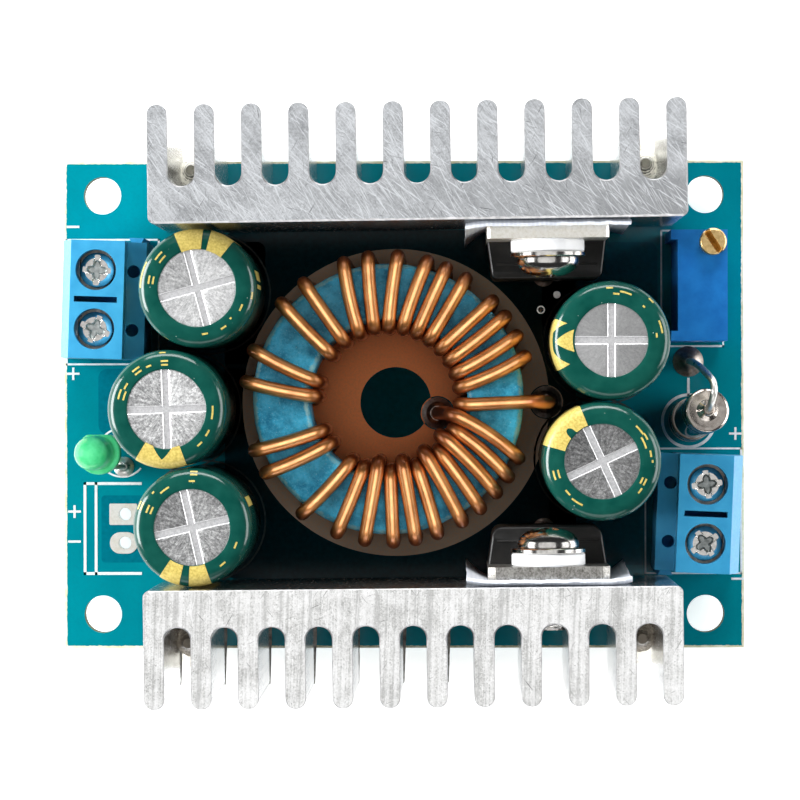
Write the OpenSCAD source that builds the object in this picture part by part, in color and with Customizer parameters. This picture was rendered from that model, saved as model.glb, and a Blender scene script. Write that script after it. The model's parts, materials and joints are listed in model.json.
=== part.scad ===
// Boost converter module: a small circuit board between two finned heatsinks,
// with a toroid inductor, five electrolytic capacitors, two power devices
// clamped to the heatsinks, two screw terminals, a trimmer, a fuse and a lamp.
// Millimetres. Origin: centre of the mounting holes on the board's underside.
// +X runs along the board, +Y towards the output-side heatsink, +Z up.

/* [Board] */
// Length of the board along X
board_l = 60; // [59.6:0.1:61]
// Width of the board along Y
board_w = 43; // [42.6:0.1:43.6]
// Thickness of the board
board_t = 1.6; // [1.2:0.2:2]
// Mounting hole spacing along X
hole_dx = 53.2; // [53:0.1:53.4]
// Mounting hole spacing along Y
hole_dy = 37; // [36.8:0.1:37.2]
// Mounting hole diameter
hole_d = 3.3; // [3:0.1:3.4]

/* [Heatsinks] */
// Height of the extrusion's cut length
sink_h = 19.8; // [19:0.1:21]
// Thickness of the extrusion's back
sink_base = 3.1; // [2.9:0.1:3.3]
// Depth from the flat face to the fin tips
sink_d = 9.95; // [9.6:0.05:10.4]
// Distance between fins
fin_pitch = 3.935; // [3.9:0.005:4]
// Thickness of a fin
fin_t = 1.72; // [1.6:0.02:1.8]
// Number of fins
fin_n = 12; // [12:1:12]

/* [Inductor] */
// Outer diameter of the coated ring core
core_od = 23.2; // [22.8:0.1:23.4]
// Inner diameter of the coated ring core
core_id = 13.6; // [13.5:0.1:14]
// Height of the coated ring core
core_h = 9; // [8:0.5:10]
// Diameter of the enamelled winding wire
wire_d = 1.2; // [1.1:0.02:1.2]

/* [Capacitors] */
// Outside diameter of a sleeved capacitor
cap_d = 10; // [9.8:0.05:10]
// Height of a capacitor above the board
cap_h = 17; // [15:0.5:18]
// Spacing of the two leads
cap_pitch = 5; // [5:0.1:5]

/* [Screw terminals] */
// Spacing of the two poles
pole_pitch = 5.08; // [5.08:0.01:5.1]
// Height of the housing
term_h = 10; // [10:0.1:10.4]
// Lift of the wire clamp from open to closed
clamp_lift = 1.8; // [1.6:0.1:1.8]

/* [Trimmer] */
// Width of the trimmer body
trim_w = 4.83; // [4.7:0.01:4.9]
// Length of the trimmer body
trim_l = 9.53; // [9.4:0.01:9.6]
// Height of the trimmer body
trim_h = 10; // [9.5:0.1:10.4]

/* [Fuse and lamp] */
// Diameter of the fuse's end caps
fuse_d = 3.8; // [3.5:0.1:3.8]
// Length of the fuse body
fuse_l = 10; // [9:0.5:10]
// Diameter of the lamp's lens
led_d = 3; // [2.9:0.1:3.1]

/* [Hidden] */
$fn = 64;
eps = 0.01;
bt = board_t;
lead_end = -1.5;

// output-side and input-side heatsinks: centre x, flat face y, turn
sink_out = [1.45, 15.4, 0.7];
sink_in = [0.97, -15.28, 180.5];
// power device places along each heatsink, in the heatsink's own frame
dev_out_x = 10.88;
dev_in_x = -11.43;
dev_top = 18.0;
dev_w = 10.2;
dev_t = 4.45;
tab_t = 1.3;
pad_t = 0.3;
dev_hole_z = dev_top - 2.8;
// heatsink fixing screws, distance from the flat face and depth of thread
fix_y = 5.2;
fix_deep = 7.5;
fix_x = fin_pitch * (fin_n - 2) / 2;

// capacitors: x, y, turn of the vent score, turn of the leads
caps = [[-17.15, 9.85, 15, 105], [-19.75, -0.34, 2, 92], [-17.6, -10.28, 13, 103],
        [17.66, 5.4, 0, 0], [16.88, -4.78, 25, 25]];

// ring core centre and winding: outer and inner ends of each turn, in degrees
core_c = [-1.2, 0.5];
turn_out = [0, 17, 26, 35, 43, 57, 66, 74, 86, 98, 108, 126, 138, 160, 173,
            201, 211, 233, 249, 260.5, 272, 281, 290, 301, 310, 319, 327, 335.5];
turn_in = [-4, 9, 20.5, 32, 43.5, 55, 66.5, 78, 89.5, 101, 113.5, 127, 142, 166, 178,
           205.5, 217.5, 239, 250.5, 261.2, 271.8, 282.4, 293, 303.6, 314.2, 324.8, 335.3, 345.8];
// turns with no room against the bore lie inside the others: how far in, and how far proud of them
crowded = [19, 21, 23, 25, 27];
layer_in = 0.7;
layer_lift = 0.3;
coil_gap = 0.06;
core_z = wire_d + 2 * coil_gap + layer_lift;
coil_start = [12.56, 0.2];
coil_end = [3.0, -0.76];

// screw terminals: x, y, turn about Z
term_out = [-26.38, 9.1, 178.2];
term_in = [26.06, -9.43, -2.4];
poles = [-pole_pitch / 2, pole_pitch / 2];
screw_z = 8.3;
screw_head = 0.95;
screw_r = 1.25;
pin_x = -2.5;

trim_c = [25.48, 10.2];
trim_screw = [26.6, 13.9];
trim_pins = [7.66, 10.2, 12.74];

fuse_base = [25.13, -1.5];
fuse_lean = [-5.6, 5.8, 0];
fuse_pad = [25.1, 3.75];
led_base = [-26.66, -4.2, 1.9];
led_lean = -7;
led_hole_x = -24.75;
fan_holes = [[-24.68, -9.66], [-24.68, -12.2]];

// ---------------------------------------------------------------- helpers

module place(p) { translate([p[0], p[1], bt]) rotate([0, 0, p[2]]) children(); }
// lays a shape drawn along +Z so that it runs along -Y
module along_minus_y() { rotate([90, 0, 0]) children(); }

function turned(p, a) = [p[0] * cos(a) - p[1] * sin(a), p[0] * sin(a) + p[1] * cos(a)];
function placed(c, p) = let(q = turned(p, c[2])) [c[0] + q[0], c[1] + q[1]];
function unit(v) = v / norm(v);

// Tube swept along points, with sides facets and flat ends
module tube(pts, r, sides) {
  n = len(pts);
  tang = [for (i = [0:n - 1]) unit(pts[min(i + 1, n - 1)] - pts[max(i - 1, 0)])];
  u0 = unit(cross(tang[0], abs(tang[0][0]) < 0.8 ? [1, 0, 0] : [0, 1, 0]));
  ups = [for (i = 0, u = u0; i < n;
              i = i + 1, u = i < n ? unit(u - (u * tang[i]) * tang[i]) : u) u];
  verts = [for (i = [0:n - 1]) let(v = cross(tang[i], ups[i]))
             for (k = [0:sides - 1]) let(a = 360 * k / sides)
               pts[i] + r * (cos(a) * ups[i] + sin(a) * v)];
  faces = concat(
    [[for (k = [sides - 1:-1:0]) k]],
    [for (i = [0:n - 2]) for (k = [0:sides - 1])
       [i * sides + k, i * sides + (k + 1) % sides, (i + 1) * sides + (k + 1) % sides]],
    [for (i = [0:n - 2]) for (k = [0:sides - 1])
       [i * sides + k, (i + 1) * sides + (k + 1) % sides, (i + 1) * sides + k]],
    [[for (k = [0:sides - 1]) (n - 1) * sides + k]]);
  polyhedron(points = verts, faces = [for (f = faces) [for (j = [len(f) - 1:-1:0]) f[j]]]);
}

// Pan head with its flat underside on z = 0 and its dome upwards
module pan_head(r, h) {
  intersection() {
    cylinder(r = r, h = h);
    translate([0, 0, h - 1.9 * r]) sphere(r = 1.9 * r, $fn = 96);
  }
}
module cross_recess(r, w, deep) {
  translate([-r, -w / 2, -deep]) cube([2 * r, w, deep + 1]);
  translate([-w / 2, -r, -deep]) cube([w, 2 * r, deep + 1]);
}

// ---------------------------------------------------------------- board

function cap_leads(c) = [for (s = [-1, 1]) [c[0] + s * cap_pitch / 2 * cos(c[3]), c[1] + s * cap_pitch / 2 * sin(c[3])]];
all_cap_leads = [for (c = caps) each cap_leads(c)];
// lead feet of a power device in its heatsink's frame: the middle one stands forward
dev_feet = [[-2.54, -2.8], [0, -4.15], [2.54, -2.8]];
out_feet = [for (f = dev_feet) placed(sink_out, [dev_out_x + f[0], f[1]])];
in_feet = [for (f = dev_feet) placed(sink_in, [dev_in_x + f[0], f[1]])];
out_pins = [for (y = poles) placed(term_out, [pin_x, y])];
in_pins = [for (y = poles) placed(term_in, [pin_x, y])];
fix_points = [for (s = [-1, 1]) each [placed(sink_out, [s * fix_x, fix_y]), placed(sink_in, [s * fix_x, fix_y])]];
led_feet = [for (s = [-1, 1]) [led_hole_x, led_base[1] + s * 1.27]];

module holes(at, r) { for (p = at) translate([p[0], p[1], -1]) cylinder(r = r, h = bt + 2); }

module circuit_board() {
  color([0.03, 0.42, 0.47]) difference() {
    translate([-board_l / 2, -board_w / 2, 0]) cube([board_l, board_w, bt]);
    holes([for (x = [-1, 1], y = [-1, 1]) [x * hole_dx / 2, y * hole_dy / 2]], hole_d / 2);
    holes(fix_points, 1.6);
    holes(all_cap_leads, 0.45);
    holes(concat(out_pins, in_pins), 0.75);
    holes(concat(out_feet, in_feet), 0.6);
    holes([coil_start, coil_end], 0.75);
    holes([for (y = trim_pins) [trim_c[0], y]], 0.4);
    holes(led_feet, 0.45);
    holes([[fuse_base[0], fuse_base[1]], fuse_pad], 0.5);
    holes(fan_holes, 0.55);
  }
}

// ---------------------------------------------------------------- heatsinks

// Cross section: a flat back with round-rooted slots between round-tipped fins
module sink_section() {
  gap = fin_pitch - fin_t;
  w = fin_pitch * (fin_n - 1) + fin_t;
  difference() {
    union() {
      translate([-w / 2, 0]) square([w, sink_d - fin_t / 2]);
      for (i = [0:fin_n - 1])
        translate([(i - (fin_n - 1) / 2) * fin_pitch, sink_d - fin_t / 2]) circle(d = fin_t);
    }
    for (i = [0:fin_n - 2]) translate([(i - (fin_n - 2) / 2) * fin_pitch, sink_base + gap / 2]) {
      circle(d = gap);
      translate([-gap / 2, 0]) square([gap, sink_d]);
    }
  }
}
module heatsink(dev_x) {
  difference() {
    linear_extrude(height = sink_h) sink_section();
    for (s = [-1, 1]) translate([s * fix_x, fix_y, -1]) cylinder(r = 1.5, h = fix_deep + 1);
    translate([dev_x, 4.2, dev_hole_z]) along_minus_y() cylinder(r = 1.5, h = 5.2);
  }
}
module output_heatsink() { color([0.78, 0.79, 0.8]) place(sink_out) heatsink(dev_out_x); }
module input_heatsink() { color([0.86, 0.86, 0.86]) place(sink_in) heatsink(dev_in_x); }
module heatsink_screws() {
  color([0.66, 0.65, 0.62]) for (p = fix_points) translate([p[0], p[1], 0]) {
    difference() {
      rotate([180, 0, 0]) pan_head(2.75, 2.0);
      rotate([180, 0, 0]) translate([0, 0, 2.0]) cross_recess(1.5, 0.55, 0.9);
    }
    translate([0, 0, -eps]) cylinder(r = 1.45, h = bt + 5.6 + eps);
    translate([0, 0, bt + 5.6]) cylinder(r1 = 1.45, r2 = 0.5, h = 1.4);
  }
}

// ---------------------------------------------------------------- power devices

module device_leads() {
  for (i = [0:2]) {
    x = dev_feet[i][0];
    foot = dev_feet[i][1];
    // inside the moulding and just below it, then set forward and down through the board
    translate([x - 0.4, -pad_t - 2.75, 2.2]) cube([0.8, 0.5, 1.8]);
    tube([[x, -pad_t - 2.5, 2.3], [x, -pad_t - 2.5, 2.1], [x, foot, 0.6], [x, foot, 0.2], [x, foot, -bt + lead_end]], 0.3, 8);
  }
}
module leadframe(dx) {
  translate([dx, 0, 0]) {
    difference() {
      translate([-dev_w / 2, -pad_t - tab_t, 4]) cube([dev_w, tab_t, dev_top - 4]);
      translate([0, 1, dev_hole_z]) along_minus_y() cylinder(r = 1.85, h = 4);
      for (s = [-1, 1]) translate([s * dev_w / 2, -3, dev_top]) rotate([0, 45, 0]) cube([0.9, 6, 0.9], center = true);
    }
    device_leads();
  }
}
module moulding(dx) {
  top = dev_top - 6.5;
  translate([dx, 0, 0]) difference() {
    // slight draft: the front face is narrower than the back
    translate([0, 0, 2.4]) linear_extrude(height = top - 2.4)
      polygon([[-5.05, -pad_t], [5.05, -pad_t], [5.05, -pad_t - tab_t], [4.72, -pad_t - dev_t], [-4.72, -pad_t - dev_t], [-5.05, -pad_t - tab_t]]);
    translate([-dev_w / 2 - eps, -pad_t - tab_t - eps, 4 - eps]) cube([dev_w + 1, tab_t + 1, dev_top]);
    for (x = [-2.54, 0, 2.54]) translate([x - 0.41, -pad_t - 2.76, 2]) cube([0.82, 0.52, 2.01]);
  }
}
module thermal_pad(dx) {
  translate([dx, 0, 0]) difference() {
    translate([-6.9, -pad_t, 0.6]) cube([13.8, pad_t, 18.2]);
    translate([0, 1, dev_hole_z]) along_minus_y() cylinder(r = 1.9, h = 4);
  }
}
module bush(dx) {
  translate([dx, -pad_t, dev_hole_z]) along_minus_y() difference() {
    union() {
      translate([0, 0, tab_t]) cylinder(r = 3.1, h = 1.05);
      translate([0, 0, 0.1]) cylinder(r = 1.82, h = tab_t);
    }
    translate([0, 0, -1]) cylinder(r = 1.55, h = 6);
  }
}
module washer(dx) {
  translate([dx, -pad_t - tab_t - 1.05, dev_hole_z]) along_minus_y() difference() {
    cylinder(r = 3.2, h = 0.45);
    translate([0, 0, -1]) cylinder(r = 1.6, h = 4);
  }
}
module device_screw(dx, long) {
  y = -pad_t - tab_t - 1.5;
  translate([dx, y, dev_hole_z]) along_minus_y() {
    difference() {
      pan_head(2.65, 1.7);
      translate([0, 0, 1.7]) cross_recess(1.4, 0.5, 0.8);
    }
    translate([0, 0, -long]) cylinder(r = 1.48, h = long + eps);
  }
}
module rectifier_leadframe() { color([0.78, 0.76, 0.7]) place(sink_out) leadframe(dev_out_x); }
module rectifier_body() { color([0.05, 0.05, 0.05]) place(sink_out) moulding(dev_out_x); }
module rectifier_thermal_pad() { color([0.74, 0.76, 0.84]) place(sink_out) thermal_pad(dev_out_x); }
module rectifier_bush() { color([0.95, 0.95, 0.93]) place(sink_out) bush(dev_out_x); }
module rectifier_washer() { color([0.75, 0.73, 0.7]) place(sink_out) washer(dev_out_x); }
module rectifier_screw() { color([0.75, 0.72, 0.68]) place(sink_out) device_screw(dev_out_x, 6.0); }
module switch_leadframe() { color([0.78, 0.77, 0.74]) place(sink_in) leadframe(dev_in_x); }
module switch_body() { color([0.05, 0.05, 0.05]) place(sink_in) moulding(dev_in_x); }
module switch_thermal_pad() { color([0.74, 0.76, 0.84]) place(sink_in) thermal_pad(dev_in_x); }
module switch_bush() { color([0.95, 0.95, 0.93]) place(sink_in) bush(dev_in_x); }
module switch_washer() { color([0.75, 0.73, 0.7]) place(sink_in) washer(dev_in_x); }
module switch_screw() { color([0.75, 0.72, 0.68]) place(sink_in) device_screw(dev_in_x, 6.9); }

// ---------------------------------------------------------------- inductor

module inductor_core() {
  c = 0.6;
  ri = core_id / 2;
  w = (core_od - core_id) / 2;
  color([0.13, 0.45, 0.6]) translate([core_c[0], core_c[1], bt + core_z]) rotate_extrude($fn = 128) union() {
    translate([ri + c, 0]) square([w - 2 * c, core_h]);
    translate([ri, c]) square([w, core_h - 2 * c]);
    for (x = [ri + c, ri + w - c], y = [c, core_h - c]) translate([x, y]) circle(r = c);
  }
}
// Points of one turn: over the top from outside to inside, down the bore,
// and under the core to where the next turn starts
function polar(r, a, z) = [core_c[0] + r * cos(a), core_c[1] + r * sin(a), z];
function mix(a, b, t) = a + (b - a) * t;
module inductor_winding() {
  wr = wire_d / 2;
  ri = core_id / 2 - wr - coil_gap;
  ro = core_od / 2 + wr + coil_gap;
  zb = bt + core_z - coil_gap - wr;
  zt = bt + core_z + core_h + coil_gap + wr;
  c = 0.9;
  q = c * 0.293;
  n = len(turn_out);
  d = ro - ri;
  function second(i) = len([for (k = crowded) if (k == i) k]);
  function over(i) = let(o = turn_out[i], m = turn_in[i], k = second(i), r = ri - layer_in * k, z = zt + layer_lift * k) concat(
    [polar(ro, o, zt - c), polar(ro - q, o, zt - q), polar(ro - c, mix(o, m, c / d), zt), polar(ri + c, mix(m, o, c / d), z)],
    k > 0 ? [polar(r + c, m, z)] : [], [polar(r + q, m, z - q), polar(r, m, z - c)]);
  function under(i) = let(m = turn_in[i], o = turn_out[i + 1], k = second(i), r = ri - layer_in * k, z = zb - layer_lift * k) concat(
    [polar(r, m, z + c), polar(r + q, m, z + q)], k > 0 ? [polar(r + c, m, z)] : [],
    [polar(ri + c, mix(m, o, c / d), z), polar(ro - c, mix(o, m, c / d), zb), polar(ro - q, o, zb + q), polar(ro, o, zb + c)]);
  s = coil_start;
  e = coil_end;
  first = [[s[0], s[1], lead_end], [s[0], s[1], bt + 2], [s[0], s[1], zt - 2.2], [s[0] - 0.15, s[1], zt - 1.2], [s[0] - 0.6, s[1], zt - 0.4], [s[0] - 1.3, s[1] + 0.05, zt],
           polar(ri + c, turn_in[0], zt), polar(ri + q, turn_in[0], zt - q), polar(ri, turn_in[0], zt - c)];
  rl = ri - layer_in * second(n - 1);
  last = [polar(rl, turn_in[n - 1], zb + 4.5), polar(rl - 0.3, turn_in[n - 1], zb + 3.4), [e[0] + 0.35, e[1] + 0.03, zb + 2.2], [e[0] + 0.1, e[1], zb + 1.4], [e[0], e[1], zb + 0.6], [e[0], e[1], lead_end]];
  pts = concat(first, [for (i = [0:n - 2]) each concat(under(i), over(i + 1))], last);
  color([0.72, 0.36, 0.14]) tube(pts, wr, 8);
}

// ---------------------------------------------------------------- capacitors

seal_h = 1.4;
can_r = cap_d / 2 - 0.16;
module can(i) {
  c = caps[i];
  h = cap_h - 0.14;
  b = 0.25;
  color([0.8, 0.8, 0.81]) translate([c[0], c[1], bt]) difference() {
    // drawn cup with a rounded shoulder, a rolled bead above the seal and a rolled lip
    rotate_extrude() polygon([[0, b + seal_h + eps], [can_r - 0.5, b + seal_h + eps], [can_r - 0.5, b + 0.3], [can_r - 0.75, b + 0.15], [can_r - 0.75, b], [can_r - 0.2, b], [can_r, b + 0.25],
      [can_r, 2.0], [can_r - 0.35, 2.35], [can_r - 0.35, 2.65], [can_r, 3.0],
      [can_r, h - 0.85], [can_r - 0.1, h - 0.45], [can_r - 0.37, h - 0.18], [can_r - 0.8, h - 0.04], [can_r - 1.3, h], [0, h]]);
    translate([0, 0, h]) rotate([0, 0, c[2]]) for (a = [0, 90]) rotate([0, 0, a]) translate([-3.25, -0.14, -0.16]) cube([6.5, 0.28, 1]);
  }
}
module sleeve(i) {
  c = caps[i];
  h = cap_h;
  r = cap_d / 2;
  g = 0.03;
  k = can_r + g;
  color([0.05, 0.3, 0.26]) translate([c[0], c[1], bt]) rotate_extrude() polygon([
    [k - 0.6, 0.1], [r - 0.25, 0.1], [r, 0.4], [r, 1.95], [r - 0.3, 2.35], [r - 0.3, 2.65], [r, 3.05],
    [r, h - 0.85], [r - 0.1, h - 0.4], [r - 0.38, h - 0.12], [r - 0.8, h - 0.01], [r - 1.3, h], [3.27, h],
    [3.27, h - 0.14 + g], [k - 1.3, h - 0.14 + g], [k - 0.8, h - 0.18 + g], [k - 0.36, h - 0.32 + g], [k - 0.09, h - 0.59 + g], [k, h - 0.97],
    [k, 3.0], [k - 0.35, 2.65], [k - 0.35, 2.35], [k, 2.0], [k, 0.5], [k - 0.2, 0.22], [k - 0.6, 0.22]]);
}
module capacitor_seals() {
  color([0.12, 0.12, 0.12]) for (c = caps) difference() {
    translate([c[0], c[1], bt + 0.58]) cylinder(r = can_r - 0.52, h = seal_h - 0.35);
    for (p = cap_leads(c)) translate([p[0], p[1], 0]) cylinder(r = 0.31, h = bt + 5);
  }
}
module capacitor_leads() {
  color([0.8, 0.8, 0.78]) for (p = all_cap_leads) translate([p[0], p[1], lead_end]) cylinder(r = 0.3, h = bt + 1.6 - lead_end);
}

// ---------------------------------------------------------------- screw terminals

module terminal_housing() {
  l = 2 * pole_pitch;
  difference() {
    union() {
      translate([0, l / 2, 0]) along_minus_y() linear_extrude(height = l)
        polygon([[-4.1, 0], [3.2, 0], [3.2, 6.2], [2.18, term_h], [-2.45, term_h], [-2.45, 7.5], [-4.1, 6.95]]);
      // dovetail rib that joins one housing to the next
      translate([0, -l / 2 + eps, 0]) linear_extrude(height = 6.6) polygon([[-2.7, 0], [-2.5, -0.42], [-3.8, -0.42], [-3.6, 0]]);
    }
    translate([0, l / 2, -1]) linear_extrude(height = 7.8) polygon([[-2.62, 0.1], [-2.4, -0.46], [-3.9, -0.46], [-3.68, 0.1]]);
    // slit between the poles
    translate([-1.9, -0.25, 7.6]) cube([3.7, 0.5, term_h]);
    for (y = poles) translate([0, y, 0]) {
      translate([-1.9, -2.05, -1]) cube([3.8, 4.1, 1 + 8.25]);
      translate([-2.95, -1.35, -1]) cube([1.2, 2.7, 1 + 4.66]);
      translate([0, 0, 8]) cylinder(r = 1.75, h = 4);
      // wire entry with a short lead-in
      translate([1.5, -1.6, 1.15]) cube([4, 3.2, 2.8]);
      translate([-3.04, 0, 5.6]) cylinder(r = 0.55, h = 4);
    }
  }
}
module terminal_contacts() {
  for (y = poles) translate([0, y, 0]) {
    translate([-2.9, -1.3, 3.8]) cube([4.5, 2.6, 0.8]);
    translate([-2.9, -1.3, 0.05]) cube([0.8, 2.6, 3.8]);
    translate([-2.9, -0.5, -bt + lead_end]) cube([0.8, 1, bt - lead_end + 0.1]);
  }
}
module terminal_clamp(y) {
  translate([0, y, 0]) difference() {
    translate([-1.75, -1.95, 0.45]) cube([3.5, 3.9, 5.85]);
    translate([-3, -1.5, 1.25]) cube([6, 3, 4.15]);
    translate([0, 0, 5]) cylinder(r = screw_r + 0.05, h = 3);
  }
}
module terminal_screw(y, a) {
  translate([0, y, 0]) rotate([0, 0, a]) difference() {
    union() {
      translate([0, 0, 4.63]) cylinder(r = screw_r, h = screw_z - 4.6);
      translate([0, 0, screw_z]) cylinder(r = 1.5, h = screw_head - 0.2);
      translate([0, 0, screw_z + screw_head - 0.2 - eps]) cylinder(r1 = 1.5, r2 = 1.35, h = 0.2 + eps);
    }
    translate([0, 0, screw_z + screw_head]) cross_recess(0.85, 0.5, 0.6);
    translate([-2, -0.22, screw_z + screw_head - 0.4]) cube([4, 0.44, 1]);
  }
}
blue = [0.1, 0.5, 0.82];
module output_terminal_housing() { color(blue) place(term_out) terminal_housing(); }
module output_terminal_contacts() { color([0.75, 0.74, 0.7]) place(term_out) terminal_contacts(); }
module output_clamp_minus() { color([0.76, 0.75, 0.72]) place(term_out) terminal_clamp(poles[0]); }
module output_clamp_plus() { color([0.76, 0.75, 0.72]) place(term_out) terminal_clamp(poles[1]); }
module output_screw_minus() { color([0.7, 0.7, 0.68]) place(term_out) terminal_screw(poles[0], 88); }
module output_screw_plus() { color([0.7, 0.7, 0.68]) place(term_out) terminal_screw(poles[1], -20); }
module input_terminal_housing() { color(blue) place(term_in) terminal_housing(); }
module input_terminal_contacts() { color([0.75, 0.74, 0.7]) place(term_in) terminal_contacts(); }
module input_clamp_plus() { color([0.76, 0.75, 0.72]) place(term_in) terminal_clamp(poles[1]); }
module input_clamp_minus() { color([0.76, 0.75, 0.72]) place(term_in) terminal_clamp(poles[0]); }
module input_screw_plus() { color([0.7, 0.7, 0.68]) place(term_in) terminal_screw(poles[1], 10); }
module input_screw_minus() { color([0.7, 0.7, 0.68]) place(term_in) terminal_screw(poles[0], 35); }

// ---------------------------------------------------------------- trimmer

module trimmer_body() {
  x0 = trim_c[0] - trim_w / 2;
  y0 = trim_c[1] - trim_l / 2;
  color([0.1, 0.33, 0.68]) translate([0, 0, bt]) difference() {
    translate([x0, y0, 0]) cube([trim_w, trim_l, trim_h]);
    // long recess down one side, between the end ribs
    translate([x0 - 1, y0 + 0.85, -1]) cube([1.57, trim_l - 1.7, trim_h + 2]);
    // stand-off gap beneath
    translate([x0 + 1.2, y0 - 1, -1]) cube([trim_w - 2.0, trim_l + 2, 1.45]);
    translate([trim_screw[0], trim_screw[1], trim_h - 3.2]) cylinder(r = 0.95, h = 4);
    for (y = trim_pins) translate([trim_c[0], y, -1]) cylinder(r = 0.27, h = 3);
  }
}
module trimmer_screw() {
  color([0.78, 0.6, 0.3]) translate([trim_screw[0], trim_screw[1], bt]) difference() {
    union() {
      translate([0, 0, trim_h - 3]) cylinder(r = 0.9, h = 3.1);
      translate([0, 0, trim_h + 0.04]) cylinder(r = 1.15, h = 1.2);
    }
    rotate([0, 0, -57]) translate([-2, -0.24, trim_h + 0.6]) cube([4, 0.48, 2]);
  }
}
module trimmer_pins() {
  color([0.8, 0.8, 0.78]) for (y = trim_pins) translate([trim_c[0], y, lead_end]) cylinder(r = 0.26, h = bt + 1.9 - lead_end);
}

// ---------------------------------------------------------------- lamp and fuse

module led_lens() {
  color([0.25, 0.8, 0.45]) translate([led_base[0], led_base[1], bt + led_base[2]]) rotate([0, led_lean, 0]) difference() {
    union() {
      difference() {
        cylinder(r = 1.9, h = 1);
        translate([-5, 1.6, -1]) cube([10, 5, 4]);
      }
      cylinder(d = led_d, h = 3.8);
      translate([0, 0, 3.8]) sphere(d = led_d);
    }
    for (s = [-1, 1]) translate([0, s * 1.27, -1]) cylinder(r = 0.26, h = 2.2);
  }
}
module led_leads() {
  color([0.78, 0.78, 0.76]) for (s = [-1, 1]) {
    y = led_base[1] + s * 1.27;
    foot = [led_base[0], y, bt + led_base[2]];
    axis = [sin(led_lean), 0, cos(led_lean)];
    tube([foot + 1.1 * axis, foot - 0.3 * axis, foot - 0.5 * axis, [led_hole_x - 0.1, y, bt + 0.4], [led_hole_x, y, bt - 0.3], [led_hole_x, y, lead_end]], 0.24, 8);
  }
}
module fuse_frame() { translate([fuse_base[0], fuse_base[1], bt + 0.35]) rotate(fuse_lean) children(); }
module fuse_tube() {
  color([0.75, 0.8, 0.78, 0.5]) fuse_frame() difference() {
    translate([0, 0, 0.3]) cylinder(d = fuse_d - 0.3, h = fuse_l - 0.6);
    translate([0, 0, -1]) cylinder(d = fuse_d - 1.2, h = fuse_l + 2);
  }
}
module fuse_end_caps() {
  color([0.75, 0.74, 0.72]) fuse_frame() for (z = [0, fuse_l]) translate([0, 0, z]) mirror([0, 0, z > 0 ? 1 : 0]) difference() {
    cylinder(d = fuse_d, h = 2.2);
    translate([0, 0, 0.28]) cylinder(d = fuse_d - 0.28, h = 3);
  }
}
module fuse_element() {
  color([0.7, 0.7, 0.68]) fuse_frame() translate([0, 0, 0.29]) cylinder(d = 0.2, h = fuse_l - 0.58);
}
module fuse_leads() {
  sx = sin(fuse_lean[1]);
  sy = -sin(fuse_lean[0]);
  top = [fuse_base[0] + sx * fuse_l, fuse_base[1] + sy * fuse_l, bt + 0.35 + fuse_l * 0.99];
  color([0.78, 0.77, 0.74]) {
    tube([[fuse_base[0], fuse_base[1], bt + 0.3], [fuse_base[0], fuse_base[1], bt - 0.3], [fuse_base[0], fuse_base[1], lead_end]], 0.3, 8);
    tube([top + [0.01, 0.01, 0.06], top + [0.1, 0.25, 0.9], top + [0.25, 0.8, 1.75], [26.55, 1.1, bt + 12.5], [26.5, 1.75, bt + 12.3], [26.3, 2.25, bt + 11.6],
          [25.6, 3.3, bt + 7], [25.2, 3.7, bt + 3.5], [fuse_pad[0], fuse_pad[1], bt + 1.5], [fuse_pad[0], fuse_pad[1], bt - 0.3], [fuse_pad[0], fuse_pad[1], lead_end]], 0.3, 8);
  }
}

// ---------------------------------------------------------------- underside

module chip(x, y, a, l, w, h) { translate([x, y, -h - 0.02]) rotate([0, 0, a]) translate([-l / 2, -w / 2, 0]) cube([l, w, h]); }
chip_c = [-4.5, 4.0];
module controller_chip() {
  color([0.06, 0.06, 0.06]) translate([chip_c[0], chip_c[1], -1.55]) difference() {
    translate([-2.45, -1.95, 0]) cube([4.9, 3.9, 1.4]);
    for (s = [-1, 1]) translate([0, s * 1.95, 0]) rotate([s * 45, 0, 0]) cube([8, 0.4, 0.4], center = true);
    translate([-1.7, -1.1, -0.1]) cylinder(r = 0.3, h = 0.2);
  }
}
module controller_chip_leads() {
  color([0.8, 0.8, 0.78]) for (i = [-1.5:1:1.5], s = [-1, 1]) translate([chip_c[0] + 1.27 * i, chip_c[1], 0]) {
    translate([-0.2, s > 0 ? 1.96 : -2.5, -0.85]) cube([0.4, 0.54, 0.2]);
    translate([-0.2, s > 0 ? 2.3 : -2.5, -0.85]) cube([0.4, 0.2, 0.83]);
    translate([-0.2, s > 0 ? 2.3 : -3.0, -0.22]) cube([0.4, 0.7, 0.2]);
  }
}
module chip_resistors() {
  color([0.1, 0.1, 0.1]) for (p = [[-9, 2, 90], [-9, 5, 90], [0, 2.2, 0], [0, 4.4, 0], [0, 6.6, 0], [-3, -2, 0], [18.5, 11, 90], [-22, -4, 90]])
    chip(p[0], p[1], p[2], 2, 1.25, 0.55);
}
module chip_capacitors() {
  color([0.62, 0.5, 0.36]) for (p = [[-9, 8, 90], [-4.5, 8.2, 0], [-6.5, -2, 0], [0.5, -3.4, 0], [15.3, 0.5, 90]])
    chip(p[0], p[1], p[2], 2, 1.25, 0.9);
}
module sense_resistor() { color([0.12, 0.12, 0.12]) chip(5.5, -8.2, 0, 6.3, 3.1, 0.7); }
module fillet(p, r, s) {
  difference() {
    translate([p[0], p[1], -0.95]) cylinder(r1 = s + 0.25, r2 = r, h = 0.95);
    translate([p[0], p[1], -3]) cylinder(r = s + 0.01, h = 5);
  }
}
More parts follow.
